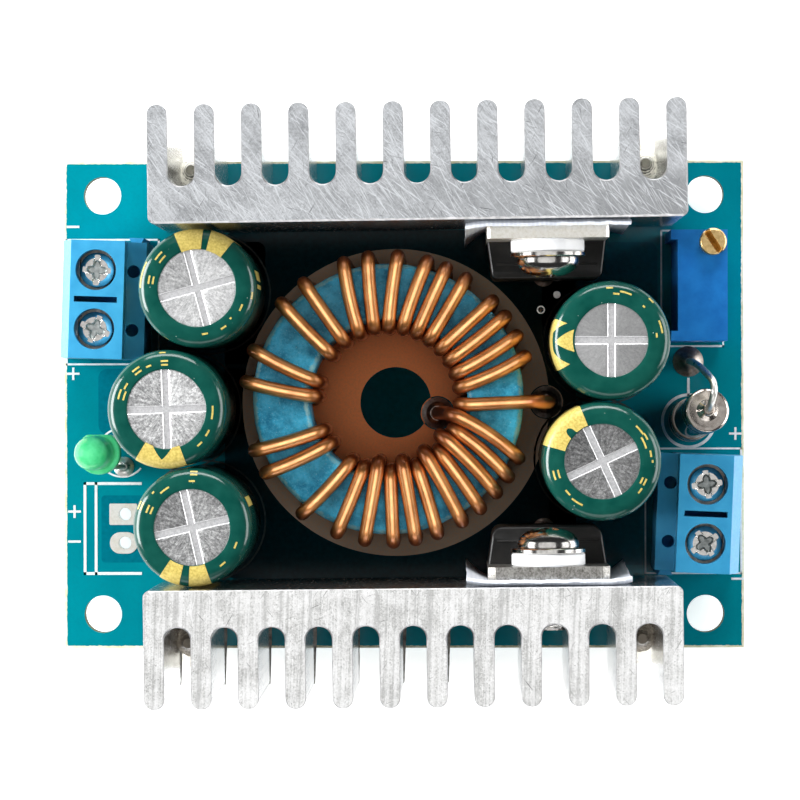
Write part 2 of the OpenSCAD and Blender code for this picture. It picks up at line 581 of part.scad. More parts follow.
module solder_joints() {
  color([0.76, 0.76, 0.74]) {
    for (p = all_cap_leads) fillet(p, 0.95, 0.3);
    for (p = concat(out_feet, in_feet)) fillet(p, 1.0, 0.3);
    for (p = [coil_start, coil_end]) fillet(p, 1.5, wire_d / 2);
    for (y = trim_pins) fillet([trim_c[0], y], 0.85, 0.26);
    for (p = led_feet) fillet(p, 0.85, 0.24);
    for (p = [[fuse_base[0], fuse_base[1]], fuse_pad]) fillet(p, 1.1, 0.3);
    for (t = [term_out, term_in], y = poles) {
      p = placed(t, [pin_x, y]);
      difference() {
        translate([p[0], p[1], -1.1]) cylinder(r1 = 0.8, r2 = 1.4, h = 1.1);
        translate([p[0], p[1], 0]) rotate([0, 0, t[2]]) cube([0.82, 1.02, 8], center = true);
      }
    }
  }
}

// ---------------------------------------------------------------- nodes

circuit_board();
output_heatsink();
input_heatsink();
heatsink_screws();
rectifier_leadframe();
rectifier_body();
rectifier_thermal_pad();
rectifier_bush();
rectifier_washer();
rectifier_screw();
switch_leadframe();
switch_body();
switch_thermal_pad();
switch_bush();
switch_washer();
switch_screw();
inductor_core();
inductor_winding();
can(0);  // output_capacitor_1_can
sleeve(0);  // output_capacitor_1_sleeve
can(1);  // output_capacitor_2_can
sleeve(1);  // output_capacitor_2_sleeve
can(2);  // output_capacitor_3_can
sleeve(2);  // output_capacitor_3_sleeve
can(3);  // input_capacitor_1_can
sleeve(3);  // input_capacitor_1_sleeve
can(4);  // input_capacitor_2_can
sleeve(4);  // input_capacitor_2_sleeve
capacitor_seals();
capacitor_leads();
output_terminal_housing();
output_terminal_contacts();
output_clamp_minus();
output_clamp_plus();
output_screw_minus();
output_screw_plus();
input_terminal_housing();
input_terminal_contacts();
input_clamp_plus();
input_clamp_minus();
input_screw_plus();
input_screw_minus();
trimmer_body();
trimmer_screw();
trimmer_pins();
led_lens();
led_leads();
fuse_tube();
fuse_end_caps();
fuse_element();
fuse_leads();
controller_chip();
controller_chip_leads();
chip_resistors();
chip_capacitors();
sense_resistor();
solder_joints();
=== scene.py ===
import json
import math
import random
import bpy
import bmesh
from mathutils import Vector, Matrix, noise
from mathutils.geometry import tessellate_polygon

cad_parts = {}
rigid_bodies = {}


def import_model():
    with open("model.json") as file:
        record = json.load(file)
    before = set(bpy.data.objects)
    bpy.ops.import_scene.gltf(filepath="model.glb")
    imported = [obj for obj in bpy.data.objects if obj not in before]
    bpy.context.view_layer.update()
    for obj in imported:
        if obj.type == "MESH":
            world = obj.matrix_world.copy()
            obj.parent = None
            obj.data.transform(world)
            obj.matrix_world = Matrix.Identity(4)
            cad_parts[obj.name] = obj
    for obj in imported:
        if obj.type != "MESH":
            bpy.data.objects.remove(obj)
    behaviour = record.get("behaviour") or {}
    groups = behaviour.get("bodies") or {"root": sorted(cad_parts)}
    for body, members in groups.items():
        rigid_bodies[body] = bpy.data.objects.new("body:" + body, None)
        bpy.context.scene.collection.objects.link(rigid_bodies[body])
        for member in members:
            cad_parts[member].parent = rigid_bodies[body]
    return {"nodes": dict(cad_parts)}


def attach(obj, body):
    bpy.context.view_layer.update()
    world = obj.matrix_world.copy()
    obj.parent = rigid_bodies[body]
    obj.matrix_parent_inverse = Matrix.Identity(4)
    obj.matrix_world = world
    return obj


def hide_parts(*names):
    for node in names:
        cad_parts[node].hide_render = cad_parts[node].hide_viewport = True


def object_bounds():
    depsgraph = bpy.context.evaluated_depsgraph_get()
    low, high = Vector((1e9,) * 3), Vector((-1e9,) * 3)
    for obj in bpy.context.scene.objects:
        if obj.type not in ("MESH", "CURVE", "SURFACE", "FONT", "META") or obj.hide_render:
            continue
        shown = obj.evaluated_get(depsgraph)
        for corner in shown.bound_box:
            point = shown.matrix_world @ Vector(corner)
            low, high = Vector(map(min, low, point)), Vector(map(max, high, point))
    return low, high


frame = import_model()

CAD_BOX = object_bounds()
ROOT = "board_assembly"
BT = 1.6            # board thickness, mm
MM = 0.001
scene = bpy.context.scene
scene.view_settings.view_transform = "Standard"
scene.view_settings.look = "None"

# ------------------------------------------------------------------ camera
cam_data = bpy.data.cameras.new("camera")
cam_data.sensor_width = 36.0
cam_data.lens = 173.97
cam_data.clip_start = 0.01
cam = bpy.data.objects.new("camera", cam_data)
cam.location = (0.0043753, 0.0006605, 0.3430958)
cam.rotation_euler = tuple(math.radians(a) for a in (-0.04615, 0.78926, -0.10670))
scene.collection.objects.link(cam)
scene.camera = cam

# ------------------------------------------------------------------ mesh helpers (millimetres in, metres out)
def rad(a):
    return math.radians(a)


def hash01(*k):
    x = math.sin(sum((i + 1) * 12.9898 * v for i, v in enumerate(k)) + 4.137) * 43758.5453
    return x - math.floor(x)


def place(c, z=BT):
    """Matrix of a part's own frame on the board: x, y, turn about Z."""
    return Matrix.Translation((c[0], c[1], z)) @ Matrix.Rotation(rad(c[2]), 4, "Z")


def add(name, verts, faces, mats, slot=None, body=ROOT, replaces=(), matrix=None, ids=None, angle=35, smooth=True, merge=0.0, bevel=None):
    """One object from vertices and faces in mm. Edges sharper than angle are creased."""
    me = bpy.data.meshes.new(name)
    if matrix is not None:
        verts = [matrix @ Vector(v) for v in verts]
    me.from_pydata([tuple(MM * c for c in v) for v in verts], [], faces)
    mats = mats if isinstance(mats, (list, tuple)) else [mats]
    for m in mats:
        me.materials.append(m)
    if ids is not None:
        for p, i in zip(me.polygons, ids):
            p.material_index = i
    bm = bmesh.new()
    bm.from_mesh(me)
    if merge:
        bmesh.ops.remove_doubles(bm, verts=bm.verts, dist=merge * MM)
    bmesh.ops.recalc_face_normals(bm, faces=bm.faces)
    if bevel:
        edges = [e for e in bm.edges if len(e.link_faces) == 2 and e.calc_face_angle(0) > rad(bevel[1])]
        bmesh.ops.bevel(bm, geom=edges, offset=bevel[0] * MM, segments=bevel[2] if len(bevel) > 2 else 2, profile=0.5, affect="EDGES", clamp_overlap=True)
    for f in bm.faces:
        f.smooth = smooth
    for e in bm.edges:
        if len(e.link_faces) == 2 and e.calc_face_angle(0) > rad(angle):
            e.smooth = False
    bm.to_mesh(me)
    bm.free()
    me.update()
    o = bpy.data.objects.new(name, me)
    scene.collection.objects.link(o)
    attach(o, body)
    if replaces:
        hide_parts(*replaces)
    return o


class Geo:
    """Collects vertices and faces of several shapes into one mesh."""

    def __init__(self):
        self.v, self.f, self.i = [], [], []

    def put(self, verts, faces, mat=0, m=None):
        b = len(self.v)
        self.v += [tuple(m @ Vector(p)) if m is not None else tuple(p) for p in verts]
        self.f += [tuple(b + k for k in f) for f in faces]
        self.i += mat if isinstance(mat, list) else [mat] * len(faces)
        return self

    def make(self, name, mats, **kw):
        return add(name, self.v, self.f, mats, ids=self.i, **kw)


def circle(r, n, cx=0.0, cy=0.0, a0=0.0):
    return [(cx + r * math.cos(a0 + 2 * math.pi * k / n), cy + r * math.sin(a0 + 2 * math.pi * k / n)) for k in range(n)]


def lathe(profile, n, closed=False):
    """Surface of revolution about Z of (r, z) points; points on the axis become one vertex."""
    verts, rows = [], []
    for r, z in profile:
        if r < 1e-6:
            rows.append([len(verts)] * n)
            verts.append((0, 0, z))
        else:
            rows.append(list(range(len(verts), len(verts) + n)))
            verts += [(r * math.cos(2 * math.pi * k / n), r * math.sin(2 * math.pi * k / n), z) for k in range(n)]
    faces = []
    pairs = list(zip(rows, rows[1:])) + ([(rows[-1], rows[0])] if closed else [])
    for a, b in pairs:
        for k in range(n):
            q = [a[k], a[(k + 1) % n], b[(k + 1) % n], b[k]]
            q = [x for j, x in enumerate(q) if x not in q[:j]]
            if len(q) > 2:
                faces.append(tuple(q))
    return verts, faces


def arc(cx, cy, r, a0, a1, n):
    return [(cx + r * math.cos(rad(a0 + (a1 - a0) * k / n)), cy + r * math.sin(rad(a0 + (a1 - a0) * k / n))) for k in range(n + 1)]


def plate(outer, holes, z0, z1, top=True, bottom=True):
    """Flat plate with holes: outlines in (x, y), from z0 up to z1."""
    loops = [outer] + list(holes)
    flat = [p for l in loops for p in l]
    n = len(flat)
    tris = tessellate_polygon([[Vector((p[0], p[1], 0)) for p in l] for l in loops])
    verts = [(x, y, z1) for x, y in flat] + [(x, y, z0) for x, y in flat]
    faces = []
    for t in tris:
        a, b, c = (flat[i] for i in t)
        if (b[0] - a[0]) * (c[1] - a[1]) - (b[1] - a[1]) * (c[0] - a[0]) < 0:
            t = (t[0], t[2], t[1])
        if top:
            faces.append(tuple(t))
        if bottom:
            faces.append((t[0] + n, t[2] + n, t[1] + n))
    b = 0
    for l in loops:
        m = len(l)
        for k in range(m):
            i, j = b + k, b + (k + 1) % m
            faces.append((i, j, j + n, i + n))
        b += m
    return verts, faces


def box(x0, y0, z0, x1, y1, z1):
    v = [(x, y, z) for z in (z0, z1) for y in (y0, y1) for x in (x0, x1)]
    return v, [(0, 2, 3, 1), (4, 5, 7, 6), (0, 1, 5, 4), (2, 6, 7, 3), (0, 4, 6, 2), (1, 3, 7, 5)]


def sweep(pts, radius, sides, caps=True):
    """Tube along points; radius is a number or a list with one value a point."""
    pts = [Vector(p) for p in pts]
    n = len(pts)
    rr = radius if isinstance(radius, (list, tuple)) else [radius] * n
    tang = [(pts[min(i + 1, n - 1)] - pts[max(i - 1, 0)]).normalized() for i in range(n)]
    u = tang[0].orthogonal().normalized()
    verts, faces = [], []
    for i in range(n):
        u = (u - u.dot(tang[i]) * tang[i]).normalized()
        w = tang[i].cross(u)
        for k in range(sides):
            a = 2 * math.pi * k / sides
            verts.append(tuple(pts[i] + rr[i] * (math.cos(a) * u + math.sin(a) * w)))
    for i in range(n - 1):
        for k in range(sides):
            k2 = (k + 1) % sides
            faces.append((i * sides + k, i * sides + k2, (i + 1) * sides + k2, (i + 1) * sides + k))
    if caps:
        faces.append(tuple(reversed(range(sides))))
        faces.append(tuple((n - 1) * sides + k for k in range(sides)))
    return verts, faces


def smooth_path(pts, step):
    """Catmull-Rom through points, resampled about every step."""
    pts = [Vector(p) for p in pts]
    out = []
    ext = [2 * pts[0] - pts[1]] + pts + [2 * pts[-1] - pts[-2]]
    for i in range(1, len(ext) - 2):
        p0, p1, p2, p3 = ext[i - 1], ext[i], ext[i + 1], ext[i + 2]
        m = max(2, int((p2 - p1).length / step))
        for k in range(m):
            t = k / m
            out.append(0.5 * ((2 * p1) + (p2 - p0) * t + (2 * p0 - 5 * p1 + 4 * p2 - p3) * t * t + (3 * p1 - p0 - 3 * p2 + p3) * t ** 3))
    out.append(pts[-1])
    return out


def threaded(r, depth, pitch, z0, z1, tip=0.0, tip_r=0.4, n=36, rows=8):
    """Screw shank along +Z with a helical thread; the last tip mm taper to tip_r."""
    verts, faces = [], []
    m = max(4, int((z1 - z0) / pitch * rows))
    for i in range(m + 1):
        z = z0 + (z1 - z0) * i / m
        t = 0.0 if z < z1 - tip or tip == 0 else (z - (z1 - tip)) / tip
        for k in range(n):
            a = 2 * math.pi * k / n
            ph = ((z - z0) / pitch - k / n) % 1.0
            tooth = abs(2 * ph - 1)
            rr = r - depth * min(1.0, 1.35 * tooth)
            rr = rr + (tip_r - rr) * t ** 1.3
            verts.append((rr * math.cos(a), rr * math.sin(a), z))
    for i in range(m):
        for k in range(n):
            k2 = (k + 1) % n
            faces.append((i * n + k, i * n + k2, (i + 1) * n + k2, (i + 1) * n + k))
    faces.append(tuple(reversed(range(n))))
    faces.append(tuple(m * n + k for k in range(n)))
    return verts, faces


def thread_ids(verts, faces, z0, pitch, crest, root):
    """Material number of each face of a threaded shank: crest or root of the thread."""
    ids = []
    for f in faces:
        x, y, z = (sum(verts[k][j] for k in f) / len(f) for j in range(3))
        ph = ((z - z0) / pitch - math.atan2(y, x) / (2 * math.pi)) % 1.0
        ids.append(crest if abs(2 * ph - 1) < 0.5 and len(f) == 4 else root)
    return ids


def pan_head(r, h, cross_r, cross_w, deep, n=96, rings=34, side=0.28):
    """Domed screw head, underside on z = 0, with a cross-shaped recess pressed into its top."""
    verts, faces = [], []

    def height(x, y):
        d = math.hypot(x, y)
        z = side + (h - side) * math.sqrt(max(0.0, 1 - (d / r) ** 2.3))
        c = min(max(abs(x) - cross_w, abs(y) - cross_r * (1 - 0.2 * abs(x) / cross_r)), max(abs(y) - cross_w, abs(x) - cross_r * (1 - 0.2 * abs(y) / cross_r)))
        if c < 0:
            z -= deep * min(1.0, -c / 0.12) * (1 - 0.45 * d / cross_r)
        return z

    verts.append((0, 0, height(0, 0)))
    for i in range(1, rings + 1):
        d = r * math.sin(0.5 * math.pi * i / rings) if i > rings * 0.7 else r * math.sin(0.35 * math.pi) * i / (rings * 0.7)
        d = min(d, r)
        for k in range(n):
            a = 2 * math.pi * k / n
            x, y = d * math.cos(a), d * math.sin(a)
            verts.append((x, y, height(x, y)))
    for z, s in ((0.10, 1.0), (0.03, 0.992), (0.0, 0.97)):
        for k in range(n):
            a = 2 * math.pi * k / n
            verts.append((s * r * math.cos(a), s * r * math.sin(a), z))
    for k in range(n):
        faces.append((0, 1 + k, 1 + (k + 1) % n))
    for i in range(rings - 1 + 3):
        a0, a1 = 1 + i * n, 1 + (i + 1) * n
        for k in range(n):
            k2 = (k + 1) % n
            faces.append((a0 + k, a1 + k, a1 + k2, a0 + k2))
    last = 1 + (rings + 2) * n
    faces.append(tuple(last + k for k in range(n)))
    return verts, faces


# ------------------------------------------------------------------ materials
class Mat:
    """Small builder for a node material around one principled shader."""

    def __init__(self, name, color=(0.8, 0.8, 0.8), rough=0.5, metal=0.0, **kw):
        self.m = bpy.data.materials.new(name)
        self.m.use_nodes = True
        self.t = self.m.node_tree
        self.b = self.t.nodes["Principled BSDF"]
        self.b.inputs["Base Color"].default_value = (*color, 1)
        self.b.inputs["Roughness"].default_value = rough
        self.b.inputs["Metallic"].default_value = metal
        for k, v in kw.items():
            self.b.inputs[k.replace("_", " ")].default_value = v
        self.m.diffuse_color = (*color, 1)
        self.co = None

    def node(self, kind, **props):
        n = self.t.nodes.new(kind)
        for k, v in props.items():
            setattr(n, k, v)
        return n

    def link(self, a, b):
        self.t.links.new(a, b)

    def coords(self, scale=(1, 1, 1), turn=(0, 0, 0), move=(0, 0, 0)):
        """Object coordinates in mm: turned first, then scaled and moved."""
        out = self.node("ShaderNodeTexCoord").outputs["Object"]
        if any(turn):
            rt = self.node("ShaderNodeMapping", vector_type="POINT")
            rt.inputs["Rotation"].default_value = tuple(rad(a) for a in turn)
            self.link(out, rt.inputs["Vector"])
            out = rt.outputs["Vector"]
        mp = self.node("ShaderNodeMapping", vector_type="POINT")
        mp.inputs["Scale"].default_value = tuple(1000.0 * s for s in scale)
        mp.inputs["Location"].default_value = move
        self.link(out, mp.inputs["Vector"])
        return mp.outputs["Vector"]

    def noise(self, vec, scale=1.0, detail=4.0, rough=0.55, dist=0.0, out="Fac"):
        n = self.node("ShaderNodeTexNoise")
        n.inputs["Scale"].default_value = scale
        n.inputs["Detail"].default_value = detail
        n.inputs["Roughness"].default_value = rough
        n.inputs["Distortion"].default_value = dist
        self.link(vec, n.inputs["Vector"])
        return n.outputs[out]

    def voronoi(self, vec, scale=1.0, feature="F1", out="Distance", rand=1.0):
        n = self.node("ShaderNodeTexVoronoi", feature=feature)
        n.inputs["Scale"].default_value = scale
        n.inputs["Randomness"].default_value = rand
        self.link(vec, n.inputs["Vector"])
        return n.outputs[out]

    def ramp(self, fac, *stops, mode="LINEAR"):
        n = self.node("ShaderNodeValToRGB")
        n.color_ramp.interpolation = mode
        e = n.color_ramp.elements
        while len(e) < len(stops):
            e.new(0.5)
        for el, (p, c) in zip(e, stops):
            el.position = p
            el.color = (*c, 1) if isinstance(c, tuple) else (c, c, c, 1)
        self.link(fac, n.inputs["Fac"])
        return n.outputs["Color"]

    def math(self, op, a, b=0.0, clamp=False):
        n = self.node("ShaderNodeMath", operation=op, use_clamp=clamp)
        for s, v in ((0, a), (1, b)):
            if isinstance(v, (int, float)):
                n.inputs[s].default_value = v
            else:
                self.link(v, n.inputs[s])
        return n.outputs[0]

    def mix(self, fac, a, b, kind="MIX"):
        n = self.node("ShaderNodeMix", data_type="RGBA", blend_type=kind)
        for s, v in ((0, fac), (6, a), (7, b)):
            if isinstance(v, (int, float)):
                n.inputs[s].default_value = v
            elif isinstance(v, tuple):
                n.inputs[s].default_value = (*v, 1)
            else:
                self.link(v, n.inputs[s])
        return n.outputs[2]

    def axis(self, vec, which):
        n = self.node("ShaderNodeSeparateXYZ")
        self.link(vec, n.inputs[0])
        return n.outputs[which]

    def normal_axis(self, which="Z"):
        g = self.node("ShaderNodeNewGeometry")
        n = self.node("ShaderNodeSeparateXYZ")
        self.link(g.outputs["True Normal"], n.inputs[0])
        return n.outputs[which]

    def pointiness(self):
        return self.node("ShaderNodeNewGeometry").outputs["Pointiness"]

    def bump(self, height, strength=0.3, dist=0.02, base=None):
        n = self.node("ShaderNodeBump")
        n.inputs["Strength"].default_value = strength
        n.inputs["Distance"].default_value = dist * MM
        self.link(height, n.inputs["Height"])
        if base is not None:
            self.link(base, n.inputs["Normal"])
        return n.outputs["Normal"]

    def set(self, **kw):
        for k, v in kw.items():
            self.link(v, self.b.inputs[k.replace("_", " ")])
        return self


def lin(r, g, b):
    """sRGB bytes to linear."""
    f = lambda c: c / 255 / 12.92 if c <= 10 else ((c / 255 + 0.055) / 1.055) ** 2.4
    return (f(r), f(g), f(b))


def px(u, v):
    """Board-top point in mm seen at (u, v) of the 800 x 800 view."""
    return (4.375 + (u - 453.3) / 11.319, 0.66 + (396.9 - v) / 11.319)


# soldermask: teal over the laminate, raw laminate on the cut edges and in a thin line along them
def make_soldermask():
    m = Mat("soldermask", lin(0, 128, 140), 0.3, Specular_IOR_Level=0.3)
    v = m.coords()
    big = m.noise(v, 0.18, 3)
    fine = m.noise(v, 3.5, 5)
    c = m.ramp(big, (0.3, (0.000, 0.185, 0.235)), (0.7, (0.000, 0.225, 0.275)))
    c = m.mix(m.ramp(fine, (0.45, 0.0), (0.8, 0.35)), c, (0.002, 0.16, 0.21))
    side = m.math("LESS_THAN", m.math("ABSOLUTE", m.normal_axis("Z")), 0.5)
    out = m.math("MAXIMUM", m.math("SUBTRACT", m.math("ABSOLUTE", m.axis(v, "X")), 30.0), m.math("SUBTRACT", m.math("ABSOLUTE", m.axis(v, "Y")), 21.5))
    out = m.math("ADD", out, m.math("MULTIPLY", m.math("SUBTRACT", m.noise(v, 2.4, 4, 0.7), 0.5), 0.22))
    raw_line = m.math("GREATER_THAN", out, -0.2)
    fib = m.noise(m.coords((0.6, 0.6, 9.0)), 2.2, 4)
    raw = m.ramp(fib, (0.3, lin(206, 202, 160)), (0.7, lin(242, 240, 218)))
    # painted shade: the cut side faces get a darker copy of the laminate colour than the pale line along the top edge
    raw = m.mix(side, raw, m.ramp(fib, (0.3, lin(104, 98, 66)), (0.7, lin(146, 140, 104))))
    side = m.math("MAXIMUM", side, raw_line)
    m.set(Base_Color=m.mix(side, c, raw))
    r = m.ramp(fine, (0.3, 0.11), (0.8, 0.17))
    m.set(Roughness=m.mix(side, r, (0.75, 0.75, 0.75)))
    m.set(Normal=m.bump(m.noise(v, 5.0, 4), 0.06, 0.02))
    return m.m


def make_pour(name, low, high, shine=0.25):
    m = Mat(name, high, 0.14, Specular_IOR_Level=shine)
    v = m.coords()
    fine = m.noise(v, 2.6, 5)
    m.set(Base_Color=m.ramp(fine, (0.3, low), (0.7, high)))
    m.set(Roughness=m.ramp(m.noise(v, 1.3, 3), (0.3, 0.11), (0.7, 0.18)))
    m.set(Normal=m.bump(m.noise(v, 4.0, 4), 0.08, 0.02))
    return m.m


def make_silk(name, color, dark):
    m = Mat(name, color, 0.6, Specular_IOR_Level=0.3)
    v = m.coords()
    m.set(Base_Color=m.ramp(m.noise(v, 4.0, 5), (0.3, dark), (0.6, color)))
    m.set(Normal=m.bump(m.noise(v, 9.0, 3), 0.2, 0.02))
    return m.m


# filled print under the ring: painted warm copper-coloured bounce light in the bore, painted greyer shade outside
def make_disc_print_painted_bounce():
    m = Mat("disc_print", (0.9, 0.6, 0.3), 0.6, Specular_IOR_Level=0.25)
    v = m.coords((1, 1, 1), (0, 0, 0), (1.2, -0.5, 0))
    x, y = m.axis(v, "X"), m.axis(v, "Y")
    r = m.math("SQRT", m.math("ADD", m.math("MULTIPLY", x, x), m.math("MULTIPLY", y, y)))
    r = m.math("DIVIDE", m.math("ADD", r, m.math("MULTIPLY", m.math("SUBTRACT", m.noise(v, 0.5, 3), 0.5), 2.0)), 14.0)
    c = m.ramp(r, (0.30, (0.87, 0.27, 0.085)), (0.52, (0.80, 0.27, 0.10)), (0.78, (0.40, 0.275, 0.185)), (0.95, (0.34, 0.27, 0.20)))
    c = m.mix(m.ramp(m.noise(v, 5.0, 5), (0.35, 0.35), (0.6, 0.0)), c, (0.55, 0.24, 0.10))
    m.set(Base_Color=c)
    m.set(Normal=m.bump(m.noise(v, 9.0, 3), 0.2, 0.02))
    return m.m


# sawn ends of the extrusion: silver, grainy, with fine scratches at one angle and a few nicks
def make_sawn(name, turn, light, dark, painted_shade_fall, streak, marks, nicks):
    m = Mat(name, light, 0.4, 1.0)
    v = m.coords()
    grain = m.noise(v, 7.5, 5, 0.8)
    cloud = m.noise(v, 0.45, 5, 0.65)
    brush = m.noise(m.coords((14.0, 0.35, 1), (0, 0, turn)), 1.0, 3, 0.6)
    f = m.math("ADD", m.math("MULTIPLY", grain, 0.52), m.math("ADD", m.math("MULTIPLY", cloud, 0.30), m.math("MULTIPLY", brush, 0.18)))
    c = m.ramp(f, (0.41, dark), (0.50, light), (0.58, tuple(min(1.0, 1.3 * x) for x in light)))
    # saw lines: long bands a little lighter or darker than the rest
    w = m.noise(m.coords((2.6, 0.045, 1), (0, 0, turn + 1), (11, 2, 0)), 1.0, 3, 0.6)
    bright = tuple(min(1.0, 1.5 * x) for x in light)
    c = m.mix(m.ramp(w, (0.53, 0.0), (0.60, streak)), c, bright)
    c = m.mix(m.ramp(w, (0.38, streak), (0.46, 0.0)), c, tuple(0.6 * x for x in light))
    # painted shade: the solid back is darker towards the right end, away from the stronger left lamp
    far = m.math("DIVIDE", m.math("ADD", m.axis(v, "X"), 24.0), 50.0)
    back = m.ramp(m.math("DIVIDE", m.math("SUBTRACT", m.math("ABSOLUTE", m.axis(v, "Y")), 15.4), 10.0), (0.32, 1.0), (0.46, 0.0))
    c = m.mix(m.math("MULTIPLY", m.ramp(far, (0.3, 0.0), (1.0, painted_shade_fall)), back), c, tuple(0.62 * x for x in light))
    # fine scratches
    for k, (d, mv) in enumerate(((3, (3, 7, 0)), (-8, (17, 5, 0)), (12, (41, 13, 0)), (-19, (61, 33, 0)))):
        s1 = m.noise(m.coords((15.0 - 2 * k, 0.24 + 0.06 * k, 1), (0, 0, turn + d), mv), 1.0, 1.0, 0.5)
        c = m.mix(m.ramp(s1, (marks, 0.0), (marks + 0.06, 0.85)), c, bright)
    for k, (d, mv) in enumerate(((66, (23, 9, 0)), (31, (29, 1, 0)), (-40, (51, 3, 0)))):
        s3 = m.noise(m.coords((12.0, 0.5, 1), (0, 0, turn + d), mv), 1.0, 1.0, 0.5)
        c = m.mix(m.ramp(s3, (nicks, 0.0), (nicks + 0.05, 0.8)), c, tuple(0.35 * x for x in dark))
    pits = m.voronoi(m.coords((1, 1, 1), (0, 0, 0), (5, 1, 0)), 1.9)
    c = m.mix(m.ramp(pits, (0.04, 0.75), (0.12, 0.0)), c, tuple(0.4 * x for x in dark))
    fleck = m.voronoi(m.coords((1, 1, 1), (0, 0, 0), (8, 21, 0)), 2.6)
    c = m.mix(m.ramp(fleck, (0.05, 0.9), (0.15, 0.0)), c, bright)
    m.set(Base_Color=c)
    m.set(Roughness=m.ramp(f, (0.35, 0.5), (0.65, 0.36)))
    m.set(Normal=m.bump(f, 0.4, 0.05))
    return m.m


# extruded faces: die lines along the length, a little dull
def make_extruded(name, light, dark, rough):
    m = Mat(name, light, rough, 1.0)
    g = m.coords((2.2, 2.2, 0.05))
    f = m.noise(g, 1.6, 5, 0.6)
    s = m.noise(m.coords(), 2.6, 5)
    c = m.ramp(f, (0.3, dark), (0.65, light))
    spot = m.voronoi(m.coords((1, 1, 0.7)), 0.85)
    c = m.mix(m.ramp(spot, (0.03, 0.8), (0.11, 0.0)), c, tuple(0.3 * x for x in dark))
    # painted shade: both ends of the bar and the tips of the fins are painted darker grey
    v = m.coords()
    end = m.math("GREATER_THAN", m.math("ABSOLUTE", m.math("SUBTRACT", m.axis(v, "X"), 1.2)), 21.4)
    end = m.math("MULTIPLY", end, m.math("GREATER_THAN", m.math("ABSOLUTE", m.normal_axis("X")), 0.5))
    shaded_ends = m.math("MAXIMUM", end, m.math("GREATER_THAN", m.math("ABSOLUTE", m.axis(v, "Y")), 24.4))
    c = m.mix(m.math("MULTIPLY", shaded_ends, m.ramp(s, (0.3, 0.95), (0.7, 0.75))), c, (0.31, 0.315, 0.325))
    m.set(Base_Color=c)
    m.set(Roughness=m.ramp(s, (0.3, rough * 0.8), (0.7, rough * 1.3)))
    m.set(Normal=m.bump(f, 0.25, 0.03))
    return m.m


def make_metal(name, light, dark, rough, scale=3.0, bump=0.15, spots=0.0):
    m = Mat(name, light, rough, 1.0)
    v = m.coords()
    f = m.noise(v, scale, 5, 0.6)
    c = m.ramp(f, (0.32, dark), (0.62, light))
    if spots:
        sp = m.voronoi(v, 2.0)
        c = m.mix(m.ramp(sp, (0.05, spots), (0.16, 0.0)), c, tuple(0.25 * x for x in dark))
    m.set(Base_Color=c)
    m.set(Roughness=m.ramp(f, (0.3, rough * 1.35), (0.7, rough * 0.8)))
    m.set(Normal=m.bump(m.noise(v, scale * 4, 4), bump, 0.02))
    return m.m


def make_plastic(name, light, dark, rough, grain=12.0, bump=0.12, scale=0.8, **kw):
    m = Mat(name, light, rough, **kw)
    v = m.coords()
    f = m.noise(v, scale, 4)
    m.set(Base_Color=m.ramp(f, (0.3, dark), (0.7, light)))
    m.set(Roughness=m.ramp(m.noise(v, 4.0, 4), (0.3, rough * 0.85), (0.7, rough * 1.2)))
    m.set(Normal=m.bump(m.noise(v, grain, 4), bump, 0.02))
    return m.m


def make_core_paint():
    """Painted ring: teal-blue with a fine mottle, worn to a thin pale line along its rounded edges."""
    m = Mat("core_paint", lin(30, 120, 160), 0.42, Specular_IOR_Level=0.3)
    v = m.coords((1, 1, 1), (0, 0, 0), (1.2, -0.5, -(BT + CORE_Z)))
    n = m.noise(v, 0.7, 4)
    c = m.ramp(n, (0.34, (0.004, 0.17, 0.30)), (0.66, (0.042, 0.45, 0.70)))
    fine = m.noise(v, 5.5, 5, 0.7)
    c = m.mix(m.ramp(fine, (0.50, 0.0), (0.72, 0.55)), c, lin(104, 192, 216))
    c = m.mix(m.ramp(fine, (0.29, 0.65), (0.44, 0.0)), c, (0.004, 0.13, 0.25))
    x, y, z = m.axis(v, "X"), m.axis(v, "Y"), m.axis(v, "Z")
    r = m.math("SQRT", m.math("ADD", m.math("MULTIPLY", x, x), m.math("MULTIPLY", y, y)))
    dr = m.math("SUBTRACT", 2.4, m.math("ABSOLUTE", m.math("SUBTRACT", r, 9.2)))
    dz = m.math("SUBTRACT", 4.5, m.math("ABSOLUTE", m.math("SUBTRACT", z, 4.5)))
    edge = m.math("ADD", dr, dz)
    edge = m.math("ADD", edge, m.math("MULTIPLY", m.math("SUBTRACT", m.noise(v, 1.6, 6, 0.7), 0.5), 0.7))
    c = m.mix(m.ramp(edge, (0.34, 0.55), (0.46, 0.0)), c, lin(150, 178, 160))
    grit = m.voronoi(v, 3.3)
    c = m.mix(m.ramp(grit, (0.05, 0.55), (0.12, 0.0)), c, lin(176, 210, 216))
    speck = m.voronoi(v, 1.7)
    c = m.mix(m.ramp(speck, (0.04, 0.6), (0.09, 0.0)), c, lin(170, 205, 214))
    m.set(Base_Color=c)
    m.set(Roughness=m.ramp(n, (0.3, 0.5), (0.7, 0.36)))
    m.set(Normal=m.bump(m.noise(v, 3.5, 5), 0.2, 0.04))
    return m.m


